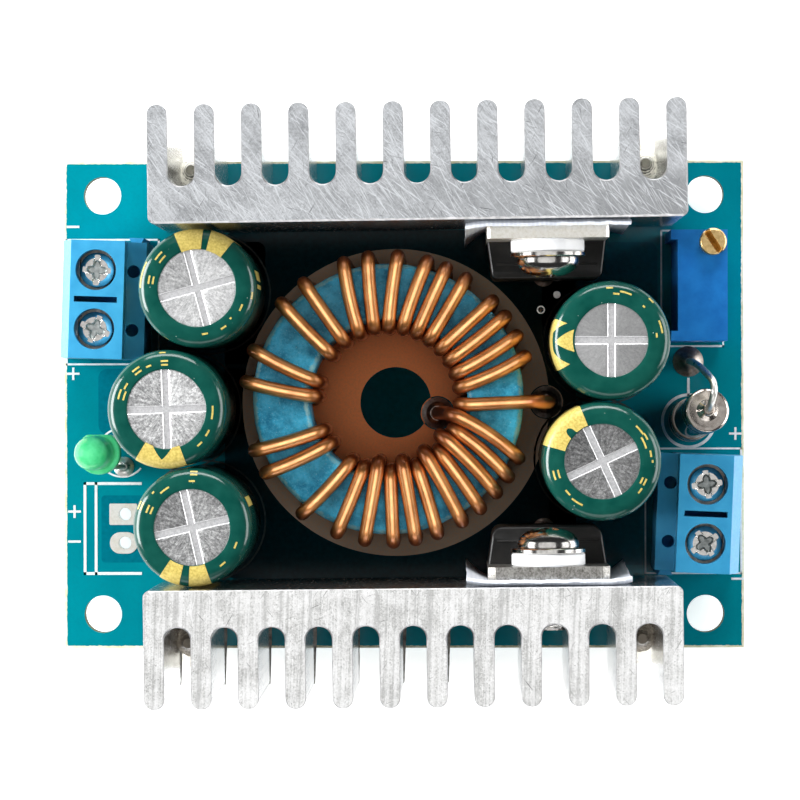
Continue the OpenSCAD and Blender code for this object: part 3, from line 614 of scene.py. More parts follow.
def make_wire():
    """Enamelled copper, painted darker brown as shade down the sides of the ring."""
    m = Mat("enamelled_copper", lin(226, 150, 84), 0.3, 1.0, Coat_Weight=1.0, Coat_Roughness=0.2)
    v = m.coords()
    n = m.noise(v, 0.45, 4)
    c = m.ramp(n, (0.30, (0.58, 0.225, 0.062)), (0.50, (0.78, 0.335, 0.104)), (0.72, (0.84, 0.40, 0.14)))
    # painted shade: darker brown where the wire turns down the sides of the ring
    w = m.coords((1, 1, 1), (0, 0, 0), (1.2, -0.5, -(BT + CORE_Z)))
    x, y, z = m.axis(w, "X"), m.axis(w, "Y"), m.axis(w, "Z")
    r = m.math("SQRT", m.math("ADD", m.math("MULTIPLY", x, x), m.math("MULTIPLY", y, y)))
    off = m.math("SUBTRACT", r, 9.2)
    far = m.math("MAXIMUM", off, m.math("MULTIPLY", off, -0.9))
    painted_shade_sides = m.ramp(m.math("ADD", m.math("DIVIDE", far, 4.0), m.math("MULTIPLY", m.math("SUBTRACT", n, 0.5), 0.25)), (0.56, 0.0), (0.80, 0.8))
    c = m.mix(painted_shade_sides, c, (0.38, 0.088, 0.026))
    m.set(Base_Color=c)
    m.set(Roughness=m.ramp(m.noise(v, 1.2, 3), (0.3, 0.36), (0.7, 0.5)))
    m.set(Normal=m.bump(m.noise(v, 2.6, 4, 0.6), 0.2, 0.04))
    return m.m


def make_can(name, k, c, lit_side, spread=1.0):
    """Bare end of the drawn can: brushed outwards from its middle, with painted light: each quarter a little lighter or
    darker, one side brighter, and the whole end scaled to how brightly this can is lit.
    """
    m = Mat(name, (0.7 * k, 0.7 * k, 0.71 * k), 0.42, 1.0)
    v = m.coords((1, 1, 1), (0, 0, 0), (-c[0], -c[1], 0))
    x, y = m.axis(v, "X"), m.axis(v, "Y")
    a = m.math("ARCTAN2", y, x)
    r = m.math("SQRT", m.math("ADD", m.math("MULTIPLY", x, x), m.math("MULTIPLY", y, y)))
    fv = m.node("ShaderNodeCombineXYZ")
    m.link(m.math("MULTIPLY", a, 11.0), fv.inputs[0])
    m.link(m.math("MULTIPLY", r, 0.9), fv.inputs[1])
    fan = m.noise(fv.outputs[0], 1.0, 5, 0.7)
    g = m.noise(v, 5.0, 4, 0.75)
    quarter = m.math("SIGN", m.math("SINE", m.math("MULTIPLY", m.math("SUBTRACT", a, rad(c[2])), 2.0)))
    half = m.math("COSINE", m.math("SUBTRACT", a, rad(lit_side)))
    f = m.math("ADD", m.math("MULTIPLY", g, 0.58), m.math("MULTIPLY", fan, 0.42))
    f = m.math("ADD", 0.5, m.math("MULTIPLY", m.math("SUBTRACT", f, 0.5), spread))
    f = m.math("ADD", f, m.math("ADD", m.math("MULTIPLY", quarter, 0.012), m.math("MULTIPLY", half, 0.03)))
    cc = m.ramp(f, *[(at, tuple(min(1.0, t * k) for t in (lv, lv + 0.003, lv + 0.006))) for at, lv in ((0.36, 0.22), (0.50, 0.54), (0.58, 0.78), (0.66, 1.2))])
    m.set(Base_Color=cc)
    m.set(Roughness=m.ramp(g, (0.3, 0.52), (0.7, 0.34)))
    m.set(Normal=m.bump(f, 0.5, 0.05))
    return m.m


def make_sleeve():
    """Shrunk sleeve: deep glossy green with fine creases and a little dust."""
    m = Mat("green_sleeve", lin(8, 66, 54), 0.14, Specular_IOR_Level=0.42)
    v = m.coords()
    n = m.noise(v, 0.8, 4)
    c = m.ramp(n, (0.3, (0.002, 0.044, 0.034)), (0.7, (0.006, 0.064, 0.049)))
    dust = m.voronoi(v, 1.5)
    dm = m.math("MULTIPLY", m.ramp(dust, (0.035, 1.0), (0.07, 0.0)), m.ramp(m.noise(v, 0.6, 2), (0.48, 0.0), (0.6, 1.0)))
    c = m.mix(dm, c, lin(170, 190, 180))
    m.set(Base_Color=c)
    m.set(Roughness=m.ramp(m.noise(v, 2.5, 4), (0.3, 0.10), (0.7, 0.2)))
    m.set(Normal=m.bump(m.noise(v, 2.2, 4), 0.1, 0.05))
    return m.m


def make_pad_cloth():
    """Glass-cloth silicone sheet: pale lilac with a plain weave."""
    m = Mat("silicone_pad", lin(226, 230, 240), 0.55)
    wx = m.node("ShaderNodeTexWave", bands_direction="X", wave_profile="SIN")
    wz = m.node("ShaderNodeTexWave", bands_direction="Z", wave_profile="SIN")
    v = m.coords()
    for w in (wx, wz):
        w.inputs["Scale"].default_value = 0.85
        w.inputs["Distortion"].default_value = 0.4
        w.inputs["Detail"].default_value = 1.0
        m.link(v, w.inputs["Vector"])
    f = m.math("MULTIPLY", m.math("ADD", wx.outputs["Fac"], wz.outputs["Fac"]), 0.5)
    c = m.ramp(f, (0.2, lin(222, 228, 240)), (0.75, lin(238, 243, 251)))
    c = m.mix(m.ramp(m.noise(v, 1.1, 4), (0.4, 0.0), (0.75, 0.6)), c, lin(236, 241, 249))
    m.set(Base_Color=c)
    m.set(Normal=m.bump(f, 0.1, 0.04))
    return m.m


def make_glass():
    """Smoked tube: little light comes through."""
    m = Mat("fuse_glass", (0.06, 0.06, 0.055), 0.06, 0.0, Transmission_Weight=0.25, IOR=1.5)
    v = m.coords()
    f = m.noise(m.coords((0.3, 0.3, 1.6)), 1.0, 3)
    m.set(Base_Color=m.ramp(f, (0.35, (0.012, 0.012, 0.011)), (0.65, (0.07, 0.07, 0.06))))
    m.set(Normal=m.bump(m.noise(v, 2.0, 3), 0.05, 0.02))
    return m.m


# sheared end of a tab: streaks across its thickness
def make_sheared(name, light, dark):
    m = Mat(name, light, 0.34, 1.0)
    f = m.noise(m.coords((4.2, 1.6, 1.2)), 1.0, 5, 0.7)
    g = m.noise(m.coords(), 5.0, 4, 0.7)
    k = m.math("ADD", m.math("MULTIPLY", f, 0.45), m.math("MULTIPLY", g, 0.55))
    m.set(Base_Color=m.ramp(k, (0.38, dark), (0.52, light), (0.62, tuple(min(1.0, 1.5 * x) for x in light))))
    m.set(Roughness=m.ramp(g, (0.3, 0.42), (0.7, 0.28)))
    m.set(Normal=m.bump(k, 0.5, 0.05))
    return m.m


def make_lens():
    m = Mat("green_lens", lin(90, 225, 140), 0.2, 0.0, Subsurface_Weight=0.25, Subsurface_Scale=0.0012, IOR=1.5)
    m.b.inputs["Subsurface Radius"].default_value = (0.3, 1.0, 0.5)
    v = m.coords()
    m.set(Base_Color=m.ramp(m.noise(v, 0.9, 3), (0.3, (0.055, 0.66, 0.24)), (0.7, (0.16, 0.86, 0.40))))
    m.set(Normal=m.bump(m.noise(v, 6.0, 3), 0.08, 0.02))
    return m.m


CORE_Z = 1.62       # underside of the ring core above the board, mm
M = {
    "mask": make_soldermask(),
    "pour": make_pour("soldermask_pour", (0.000, 0.125, 0.175), (0.000, 0.155, 0.215)),
    # painted shade over the middle of the board
    "shade_plane": make_pour("soldermask_plane", (0.000, 0.030, 0.042), (0.000, 0.042, 0.058), 0.14),
    # painted light for the board inside the ring's bore
    "bore_light": make_pour("soldermask_bore", (0.000, 0.21, 0.30), (0.000, 0.25, 0.36)),
    "silk": make_silk("white_print", (0.80, 0.83, 0.84), (0.62, 0.68, 0.70)),
    "silk_disc_painted": make_disc_print_painted_bounce(),
    "sawn_out": make_sawn("extruded_aluminium_sawn", -38, (0.52, 0.535, 0.555), (0.33, 0.34, 0.355), 0.9, 0.18, 0.645, 0.73),
    "sawn_in": make_sawn("extruded_aluminium_sawn_b", 1, (0.79, 0.79, 0.78), (0.46, 0.46, 0.45), 0.0, 0.5, 0.71, 0.745),
    "wall": make_extruded("extruded_aluminium", (0.84, 0.85, 0.86), (0.62, 0.63, 0.64), 0.22),
    "edge": make_metal("extruded_aluminium_edge", (0.86, 0.86, 0.87), (0.62, 0.62, 0.63), 0.38, 2.0, 0.3),
    # the saw flaps are painted near-black, as the shade they lie in
    "burr_shade": make_metal("extruded_aluminium_burr", (0.26, 0.245, 0.22), (0.10, 0.09, 0.08), 0.5, 2.0, 0.3),
    "zinc": make_plastic("zinc_steel", (0.88, 0.86, 0.79), (0.70, 0.67, 0.59), 0.24, 6.0, 0.1, 2.0, metal=0.55),
    # a darker, shaded copy of the zinc for the lower screws
    "zinc_shaded": make_plastic("zinc_steel_dull", (0.20, 0.175, 0.14), (0.10, 0.085, 0.065), 0.26, 6.0, 0.15, 2.0, metal=0.5),
    # painted highlight for thread crests and painted shade for thread roots
    "zinc_crest_highlight": make_plastic("zinc_steel_crest", (0.78, 0.76, 0.67), (0.60, 0.58, 0.50), 0.3, 6.0, 0.1, 2.0, metal=0.5),
    "zinc_root_shade": make_plastic("zinc_steel_root", (0.12, 0.115, 0.092), (0.08, 0.077, 0.062), 0.34, 6.0, 0.1, 2.0, metal=0.5),
    "zinc_dark_root_shade": make_plastic("zinc_steel_dull_root", (0.07, 0.06, 0.047), (0.04, 0.034, 0.026), 0.34, 6.0, 0.15, 2.0, metal=0.5),
    # painted shade in the terminal screw recesses, a lighter and a darker copy
    "recess_pale": make_metal("nickel_steel_recess_pale", (0.62, 0.66, 0.65), (0.36, 0.39, 0.385), 0.34, 3.0, 0.25),
    "recess": make_metal("nickel_steel_recess", (0.34, 0.365, 0.36), (0.18, 0.195, 0.19), 0.3, 3.0, 0.25),
    # print painted dark grey as shade
    "silk_shaded": make_silk("grey_print", (0.085, 0.125, 0.13), (0.06, 0.095, 0.10)),
    "nickel": make_metal("nickel_steel", (0.80, 0.78, 0.75), (0.62, 0.60, 0.57), 0.16, 2.5, 0.1, 0.12),
    "tin": make_metal("tinned_copper", (0.78, 0.77, 0.73), (0.58, 0.57, 0.53), 0.3, 2.2, 0.2),
    "tab_out": make_metal("tinned_copper_tab", (0.92, 0.90, 0.84), (0.74, 0.71, 0.63), 0.36, 3.5, 0.4),
    "tab_in": make_sheared("tinned_copper_sheared", (0.36, 0.35, 0.33), (0.12, 0.115, 0.10)),
    "pad": make_metal("tinned_pad", (0.95, 0.94, 0.90), (0.66, 0.63, 0.56), 0.4, 0.9, 0.2),
    "cap": make_metal("nickel_steel_dull", (0.50, 0.46, 0.42), (0.34, 0.30, 0.27), 0.2, 1.6, 0.15),
    "solder": make_metal("solder", (0.62, 0.61, 0.59), (0.36, 0.34, 0.32), 0.3, 1.5, 0.35, 0.25),
    "flux": make_metal("solder_dull", (0.34, 0.30, 0.27), (0.16, 0.13, 0.11), 0.34, 2.5, 0.35, 0.4),
    "brass": make_metal("brass_screw", (0.78, 0.56, 0.26), (0.52, 0.34, 0.13), 0.3, 2.5, 0.2),
    "epoxy": make_plastic("black_epoxy", (0.014, 0.0135, 0.013), (0.008, 0.008, 0.008), 0.36, 16.0, 0.2, Specular_IOR_Level=0.22),
    "cloth": make_pad_cloth(),
    "nylon": make_plastic("white_nylon", (0.76, 0.77, 0.78), (0.70, 0.71, 0.72), 0.38, 10.0, 0.08),
    "core": make_core_paint(),
    "wire": make_wire(),
    # painted light: the five can ends are copies of one aluminium, each scaled to how brightly it is lit
    "can_1": make_can("can_aluminium_a", 1.06, (-17.15, 9.85, 15), -20, 0.95),
    "can_2": make_can("can_aluminium_b", 0.94, (-19.75, -0.34, 2), 10, 1.5),
    "can_3": make_can("can_aluminium_c", 0.60, (-17.6, -10.28, 13), -30, 1.5),
    "can_4": make_can("can_aluminium_d", 0.64, (17.66, 5.4, 0), 200, 0.4),
    "can_5": make_can("can_aluminium_e", 0.39, (16.88, -4.78, 25), -60, 1.4),
    "can_floor": make_metal("can_aluminium_floor", (0.72, 0.72, 0.73), (0.46, 0.46, 0.47), 0.4, 4.0, 0.4),
    # painted highlight for the edges of the pressed grooves
    "can_edge_highlight": make_metal("can_aluminium_edge", (0.96, 0.96, 0.97), (0.80, 0.80, 0.81), 0.34, 3.0, 0.2),
    "sleeve": make_sleeve(),
    "gold": make_plastic("gold_print", (0.62, 0.50, 0.145), (0.36, 0.27, 0.055), 0.36, 9.0, 0.5, 5.0),
    "rubber": make_plastic("black_rubber", (0.03, 0.03, 0.03), (0.018, 0.018, 0.018), 0.6, 8.0, 0.3),
    "blue": make_plastic("blue_terminal", (0.045, 0.318, 0.56), (0.032, 0.264, 0.49), 0.36, 14.0, 0.12, Specular_IOR_Level=0.3),
    "trim": make_plastic("blue_trimmer", (0.014, 0.19, 0.56), (0.009, 0.14, 0.46), 0.4, 10.0, 0.2, Specular_IOR_Level=0.25),
    "lens": make_lens(),
    "glass": make_glass(),
    "tan": make_plastic("tan_ceramic", lin(168, 138, 104), lin(140, 112, 82), 0.5, 8.0, 0.2),
    "chip": make_plastic("chip_black", (0.03, 0.03, 0.03), (0.018, 0.018, 0.02), 0.45, 14.0, 0.25),
}


def cad(node, mat, bevel=0.0, angle=30, segments=2):
    """Finish of a CAD node that keeps its own shape: material, joined corners and a small edge round."""
    o = frame["nodes"][node]
    mats = mat if isinstance(mat, (list, tuple)) else [mat]
    if not o.data.materials:
        o.data.materials.append(mats[0])
    for i in range(len(o.material_slots)):
        o.material_slots[i].material = mats[0]
    if bevel:
        w = o.modifiers.new("weld", "WELD")
        w.merge_threshold = 2e-6
        b = o.modifiers.new("edge_round", "BEVEL")
        b.width = bevel * MM
        b.segments = segments
        b.limit_method = "ANGLE"
        b.angle_limit = rad(angle)
        b.harden_normals = True
        b.use_clamp_overlap = True
    return o


# ------------------------------------------------------------------ board, print and pads
cad("circuit_board", M["mask"])
TOP = BT


def slab(g, outline, holes=(), z0=TOP - 0.01, z1=TOP + 0.02, mat=0):
    g.put(*plate(outline, holes, z0, z1), mat)


def bar(g, x0, y0, x1, y1, w, z1=TOP + 0.02, mat=0):
    d = Vector((x1 - x0, y1 - y0))
    d = d.normalized() * (w / 2)
    n = Vector((-d.y, d.x))
    p0, p1 = Vector((x0, y0)) - d, Vector((x1, y1)) + d
    slab(g, [tuple(p0 - n), tuple(p1 - n), tuple(p1 + n), tuple(p0 + n)], (), TOP - 0.01, z1, mat)


def ring(g, cx, cy, r, w, a0=0.0, a1=360.0, n=96, z1=TOP + 0.02, mat=0):
    if a1 - a0 >= 359.9:
        slab(g, circle(r + w / 2, n, cx, cy), [circle(r - w / 2, n, cx, cy)], TOP - 0.01, z1, mat)
    else:
        m = max(8, int(n * (a1 - a0) / 360))
        slab(g, arc(cx, cy, r + w / 2, a0, a1, m) + arc(cx, cy, r - w / 2, a1, a0, m), (), TOP - 0.01, z1, mat)


def path(g, pts, w, closed=False):
    for a, b in zip(pts, pts[1:] + ([pts[0]] if closed else [])):
        if a != b:
            bar(g, *a, *b, w)


# copper areas under the mask stand a hair proud of the laminate
g = Geo()
def pour(pts, holes=()):
    slab(g, pts, holes, TOP - 0.01, TOP + 0.012)
def rounded(x0, y0, x1, y1, r, n=6):
    return arc(x1 - r, y1 - r, r, 0, 90, n) + arc(x0 + r, y1 - r, r, 90, 180, n) + arc(x0 + r, y0 + r, r, 180, 270, n) + arc(x1 - r, y0 + r, r, 270, 360, n)
pour(rounded(-26.75, -13.93, -20.8, -8.0, 0.3), [circle(0.8, 32, -24.68, -9.66), circle(0.8, 32, -24.68, -12.2)])
pour(rounded(-27.9, 3.6, -12.2, 14.4, 0.8), [])
pour(rounded(-27.0, -2.6, -13.4, 3.2, 0.8), [])
pour(rounded(12.8, -14.2, 28.6, -4.6, 0.8), [])
pour(rounded(12.2, 6.4, 22.4, 14.3, 0.8), [])
g.make("copper_areas", M["pour"], slot="soldermask")
# painted shade: a darker teal area over the middle of the board, where the tall parts shade it
g = Geo()
pour(rounded(-15.8, -15.4, 15.2, 15.4, 1.0), [circle(1.6, 40, 3.0, -0.76)] + [circle(0.2, 20, *px(541, 310))])
g.make("copper_plane", M["shade_plane"], slot="soldermask")
# painted light: a lighter teal disc on the board inside the ring's bore, which the lamps hardly reach
g = Geo()
slab(g, circle(3.2, 64, -0.7, 0.18), [], TOP - 0.01, TOP + 0.016)
g.make("copper_in_bore", M["bore_light"], slot="soldermask")

g = Geo()
W = 0.16
# fan header outline, a double line on its left
fx0, fy1 = px(84.5, 483)
fx1, fy0 = px(140, 573)
path(g, [(fx1, fy1), (fx0, fy1), (fx0, fy0), (fx1, fy0)], 0.24)
bar(g, fx0 + 0.98, fy0, fx0 + 0.98, fy1, 0.24)
def plus(x, y, s=0.46):
    bar(g, x - s, y, x + s, y, 0.19)
    bar(g, x, y - s, x, y + s, 0.19, TOP + 0.0206)
def minus(x, y, s=0.46):
    bar(g, x - s, y, x + s, y, 0.19)
minus(*px(73, 226)); plus(*px(73, 373)); plus(*px(74, 511)); minus(*px(74, 541)); plus(*px(735, 434)); minus(*px(737, 579))
CAPS = [(-17.15, 9.85, 15), (-19.75, -0.34, 2), (-17.6, -10.28, 13), (17.66, 5.4, 0), (16.88, -4.78, 25)]
# terminal outlines, trimmer outline, fuse ring and link, lamp ring
for c, s in (((-26.38, 9.1), 1), ((26.06, -9.43), -1)):
    x0, x1 = c[0] - 3.7, c[0] + 4.75
    if s < 0:
        x0, x1 = c[0] - 4.75, c[0] + 3.7
    path(g, [(max(x0, -29.8), c[1] - 5.5), (min(x1, 29.8), c[1] - 5.5), (min(x1, 29.8), c[1] + 5.5), (max(x0, -29.8), c[1] + 5.5)], W, True)
path(g, [(22.75, 5.1), (28.2, 5.1), (28.2, 15.3), (22.75, 15.3)], W, True)
ring(g, 25.13, -1.5, 2.3, 0.26)
bar(g, 25.13, 0.8, 25.13, 2.2, 0.22)
ring(g, -24.9, -4.2, 2.15, W, 40, 320)
# painted highlight: white print dots at two vias stand for the glints on their solder
for p, r in ((px(557, 295), 0.34), (px(541, 310), 0.15)):
    slab(g, circle(r, 24, *p), (), TOP - 0.01, TOP + 0.03)
g.make("board_print", M["silk"], slot="soldermask")
# thin print rings round the capacitors, painted dark grey as the shade they lie in
g = Geo()
for x, y, a in CAPS:
    ring(g, x, y, 5.35, W)
g.make("capacitor_rings", M["silk_shaded"], slot="soldermask")

g = Geo()
slab(g, circle(13.55, 192, -0.7, 0.18), [circle(3.12, 96, -0.7, 0.18), circle(1.5, 48, 3.0, -0.76), circle(1.5, 48, 12.56, 0.2)])
g.make("inductor_print", M["silk_disc_painted"], slot="soldermask")

# tinned pads and top-side solder
g = Geo()
slab(g, rounded(-26.05, -10.6, -23.6, -8.72, 0.12), [circle(0.56, 40, -24.68, -9.66)], TOP - 0.01, TOP + 0.05, 2)
slab(g, rounded(-26.0, -13.15, -23.55, -11.25, 0.9), [circle(0.56, 40, -24.68, -12.2)], TOP - 0.01, TOP + 0.05, 2)
for x, y in ((-24.68, -9.66), (-24.68, -12.2)):
    v, f = lathe([(0.56, -0.05), (0.545, 0.1), (0.54, BT - 0.1), (0.56, BT + 0.055), (0.60, BT + 0.055), (0.62, BT), (0.62, 0.0), (0.60, -0.05)], 40, True)
    g.put(v, f, 2, Matrix.Translation((x, y, 0)))
    slab(g, circle(1.02, 48, x, y), [circle(0.56, 40, x, y)], -0.05, 0.01)
def top_joint(x, y, r, wire, h, mat):
    v, f = lathe([(wire * 0.9, 0.0), (r, 0.0), (r, 0.03), (r * 0.92, 0.07), (r * 0.72, 0.16 * h + 0.05), (wire + (r - wire) * 0.35, 0.45 * h), (wire + 0.04, h), (wire * 0.9, h)], 48, True)
    g.put(v, f, mat, Matrix.Translation((x, y, TOP - 0.005)))
top_joint(3.0, -0.76, 1.4, 0.6, 0.9, 1)
top_joint(12.56, 0.2, 1.4, 0.6, 0.9, 1)
top_joint(25.1, 3.75, 1.35, 0.3, 0.8, 1)
for y in (-2.93, -5.47):
    top_joint(-24.75, y, 0.9, 0.24, 0.4, 0)
for x, y in (px(541, 310),):
    slab(g, circle(0.36, 40, x, y), [circle(0.25, 32, x, y)], TOP - 0.01, TOP + 0.04)
slab(g, circle(0.30, 32, *px(557, 295)), (), TOP - 0.01, TOP + 0.05, 2)
SINK_OUT, SINK_IN = (1.45, 15.4, 0.7), (0.97, -15.28, 180.5)
DEV_OUT, DEV_IN = 10.88, -11.43
for c, dx in ((SINK_OUT, DEV_OUT), (SINK_IN, DEV_IN)):
    for fx, fy in ((-2.54, -2.8), (0, -4.15), (2.54, -2.8)):
        p = place(c) @ Vector((dx + fx, fy, 0))
        top_joint(p.x, p.y, 1.0, 0.3, 0.5, 1)
g.make("top_pads", [M["tin"], M["flux"], M["pad"]], slot="tinned_copper", angle=30)

# ------------------------------------------------------------------ heatsinks
def sink_outline(step=0.42):
    n, pitch, fin, base, d = 12, 3.935, 1.72, 3.1, 9.95
    gap, w = pitch - fin, pitch * 11 + fin
    corners = []
    out = []

    def line(a, b):
        m = max(1, int(math.hypot(b[0] - a[0], b[1] - a[1]) / step))
        out.extend([(a[0] + (b[0] - a[0]) * k / m, a[1] + (b[1] - a[1]) * k / m) for k in range(m)])

    c = 0.55
    line((-w / 2 + c, 0), (w / 2 - c, 0))
    out.extend(arc(w / 2 - c, c, c, -90, 0, 5)[:-1])
    line((w / 2, c), (w / 2, d - fin / 2))
    for i in range(n):
        x = w / 2 - fin / 2 - i * pitch
        out.extend(arc(x, d - fin / 2, fin / 2, 0, 180, 12)[:-1])
        if i < n - 1:
            line((x - fin / 2, d - fin / 2), (x - fin / 2, base + gap / 2))
            out.extend(arc(x - pitch / 2, base + gap / 2, gap / 2, 0, -180, 16)[:-1])
            line((x - fin / 2 - gap, base + gap / 2), (x - fin / 2 - gap, d - fin / 2))
    line((-w / 2, d - fin / 2), (-w / 2, c))
    out.extend(arc(-w / 2 + c, c, c, 180, 270, 5)[:-1])
    return out


def heatsink(name, node, c, seed, mats, burrs=(), lip=0.0):
    h = 19.8
    ol = sink_outline()
    n = len(ol)
    nor = []
    for k in range(n):
        a, b = Vector(ol[k - 1]), Vector(ol[(k + 1) % n])
        t = (b - a).normalized()
        nor.append(Vector((-t.y, t.x)))

    def ragged(k, s):
        x, y = ol[k]
        v = 0.05 + 0.045 * noise.noise(Vector((x * 1.8, y * 1.8, s)))
        if 2.5 < y < 4.5:
            v += 0.05       # the saw left a bright edge round the roots of the gaps
        if y < 0.3:
            v += 0.03 + 0.05 * noise.noise(Vector((x * 1.7, 4.0, s)))
            if s == seed:
                v += lip * (1 + 0.8 * noise.noise(Vector((x * 2.9, 8.0, s))))
        q = noise.noise(Vector((x * 2.3, y * 2.3, s + 9)))
        return max(0.02, v + (0.30 * (q - 0.40) if q > 0.40 else 0.0))

    rows = []
    for z, f in ((0.0, 1.0), (0.09, 0.0), (h - 0.11, 0.0), (h, 1.0)):
        s = seed if z > 5 else seed + 31
        row = []
        for k in range(n):
            o = f * ragged(k, s)
            zz = z
            if abs(z - (h - 0.11)) < 1e-6:
                zz = h - 0.75 * ragged(k, s)
            row.append((ol[k][0] + nor[k].x * o, ol[k][1] + nor[k].y * o, zz))
        rows.append(row)
    verts = [p for r in rows for p in r]
    faces, ids = [], []
    for i in range(3):
        for k in range(n):
            k2 = (k + 1) % n
            faces.append((i * n + k, i * n + k2, (i + 1) * n + k2, (i + 1) * n + k))
            ids.append(1 if i == 1 else 2)
    for base, up in ((0, False), (3 * n, True)):
        tri = tessellate_polygon([[Vector((verts[base + k][0], verts[base + k][1], 0)) for k in range(n)]])
        for t in tri:
            faces.append(tuple(base + i for i in t))
            ids.append(0)
    # thin flaps left by the saw along the lower edge of some gaps, wide at the root and fading towards the tips
    for i, wide in burrs:
        x = (i - 5) * 3.935 + 1.1075 + 0.03
        b = len(verts)
        m = 14
        for k in range(m + 1):
            t = k / m
            y = 3.75 + (9.3 - 3.75) * t
            w = wide * (1 - 0.8 * t) * (1 + 0.3 * noise.noise(Vector((i * 3.0, y * 1.5, seed)))) + 0.03
            verts += [(x, y, 0.02), (x - w, y, 0.10 + 0.04 * t), (x - w, y, 0.13 + 0.04 * t), (x, y, 0.16)]
        for k in range(m):
            for j in range(4):
                faces.append((b + 4 * k + j, b + 4 * k + (j + 1) % 4, b + 4 * k + 4 + (j + 1) % 4, b + 4 * k + 4 + j))
                ids.append(3)
        faces += [(b, b + 1, b + 2, b + 3), tuple(b + 4 * m + j for j in (3, 2, 1, 0))]
        ids += [3, 3]
    return add(name, verts, faces, mats, slot="extruded_aluminium", replaces=(node,), matrix=place(c), ids=ids, angle=25)


heatsink("output_sink", "output_heatsink", SINK_OUT, 1.0, [M["sawn_out"], M["wall"], M["edge"]], lip=0.09)
heatsink("input_sink", "input_heatsink", SINK_IN, 5.0, [M["sawn_in"], M["wall"], M["edge"], M["burr_shade"]], [(10, 0.26), (9, 0.24), (8, 0.25), (7, 0.30), (6, 0.14), (5, 0.34), (4, 0.3)])

g = Geo()
for c, mi in ((SINK_OUT, 0), (SINK_IN, 1)):
    for s in (-1, 1):
        p = place(c, 0.0) @ Vector((s * 19.675, 5.2, 0))
        m = Matrix.Translation((p.x, p.y, 0))
        v, f = pan_head(2.75, 1.98, 1.5, 0.3, 1.0, side=0.5)
        g.put(v, f, 0, m @ Matrix.Rotation(math.pi, 4, "X") @ Matrix.Rotation(rad(40 * s + c[0] * 13), 4, "Z"))
        v, f = threaded(1.45, 0.32, 0.9, -0.02, BT + 7.0, 4.8, 0.42, n=48, rows=10)
        # the thread crests carry a painted highlight and the roots a painted shade
        g.put(v, f, thread_ids(v, f, -0.02, 0.9, 1 + 2 * mi, 2 + 2 * mi), m)
g.make("sink_fixing_screws", [M["zinc"], M["zinc_crest_highlight"], M["zinc_root_shade"], M["zinc_shaded"], M["zinc_dark_root_shade"]], slot="zinc_steel", replaces=("heatsink_screws",), angle=40)

# ------------------------------------------------------------------ power devices on their heatsinks
UP = Matrix.Rotation(math.pi / 2, 4, "X")     # drawn along +Z, laid along -Y


def tab_outline(w, z0, z1, ch):
    return [(-w / 2, z0), (w / 2, z0), (w / 2, z1 - ch), (w / 2 - ch, z1), (-w / 2 + ch, z1), (-w / 2, z1 - ch)]


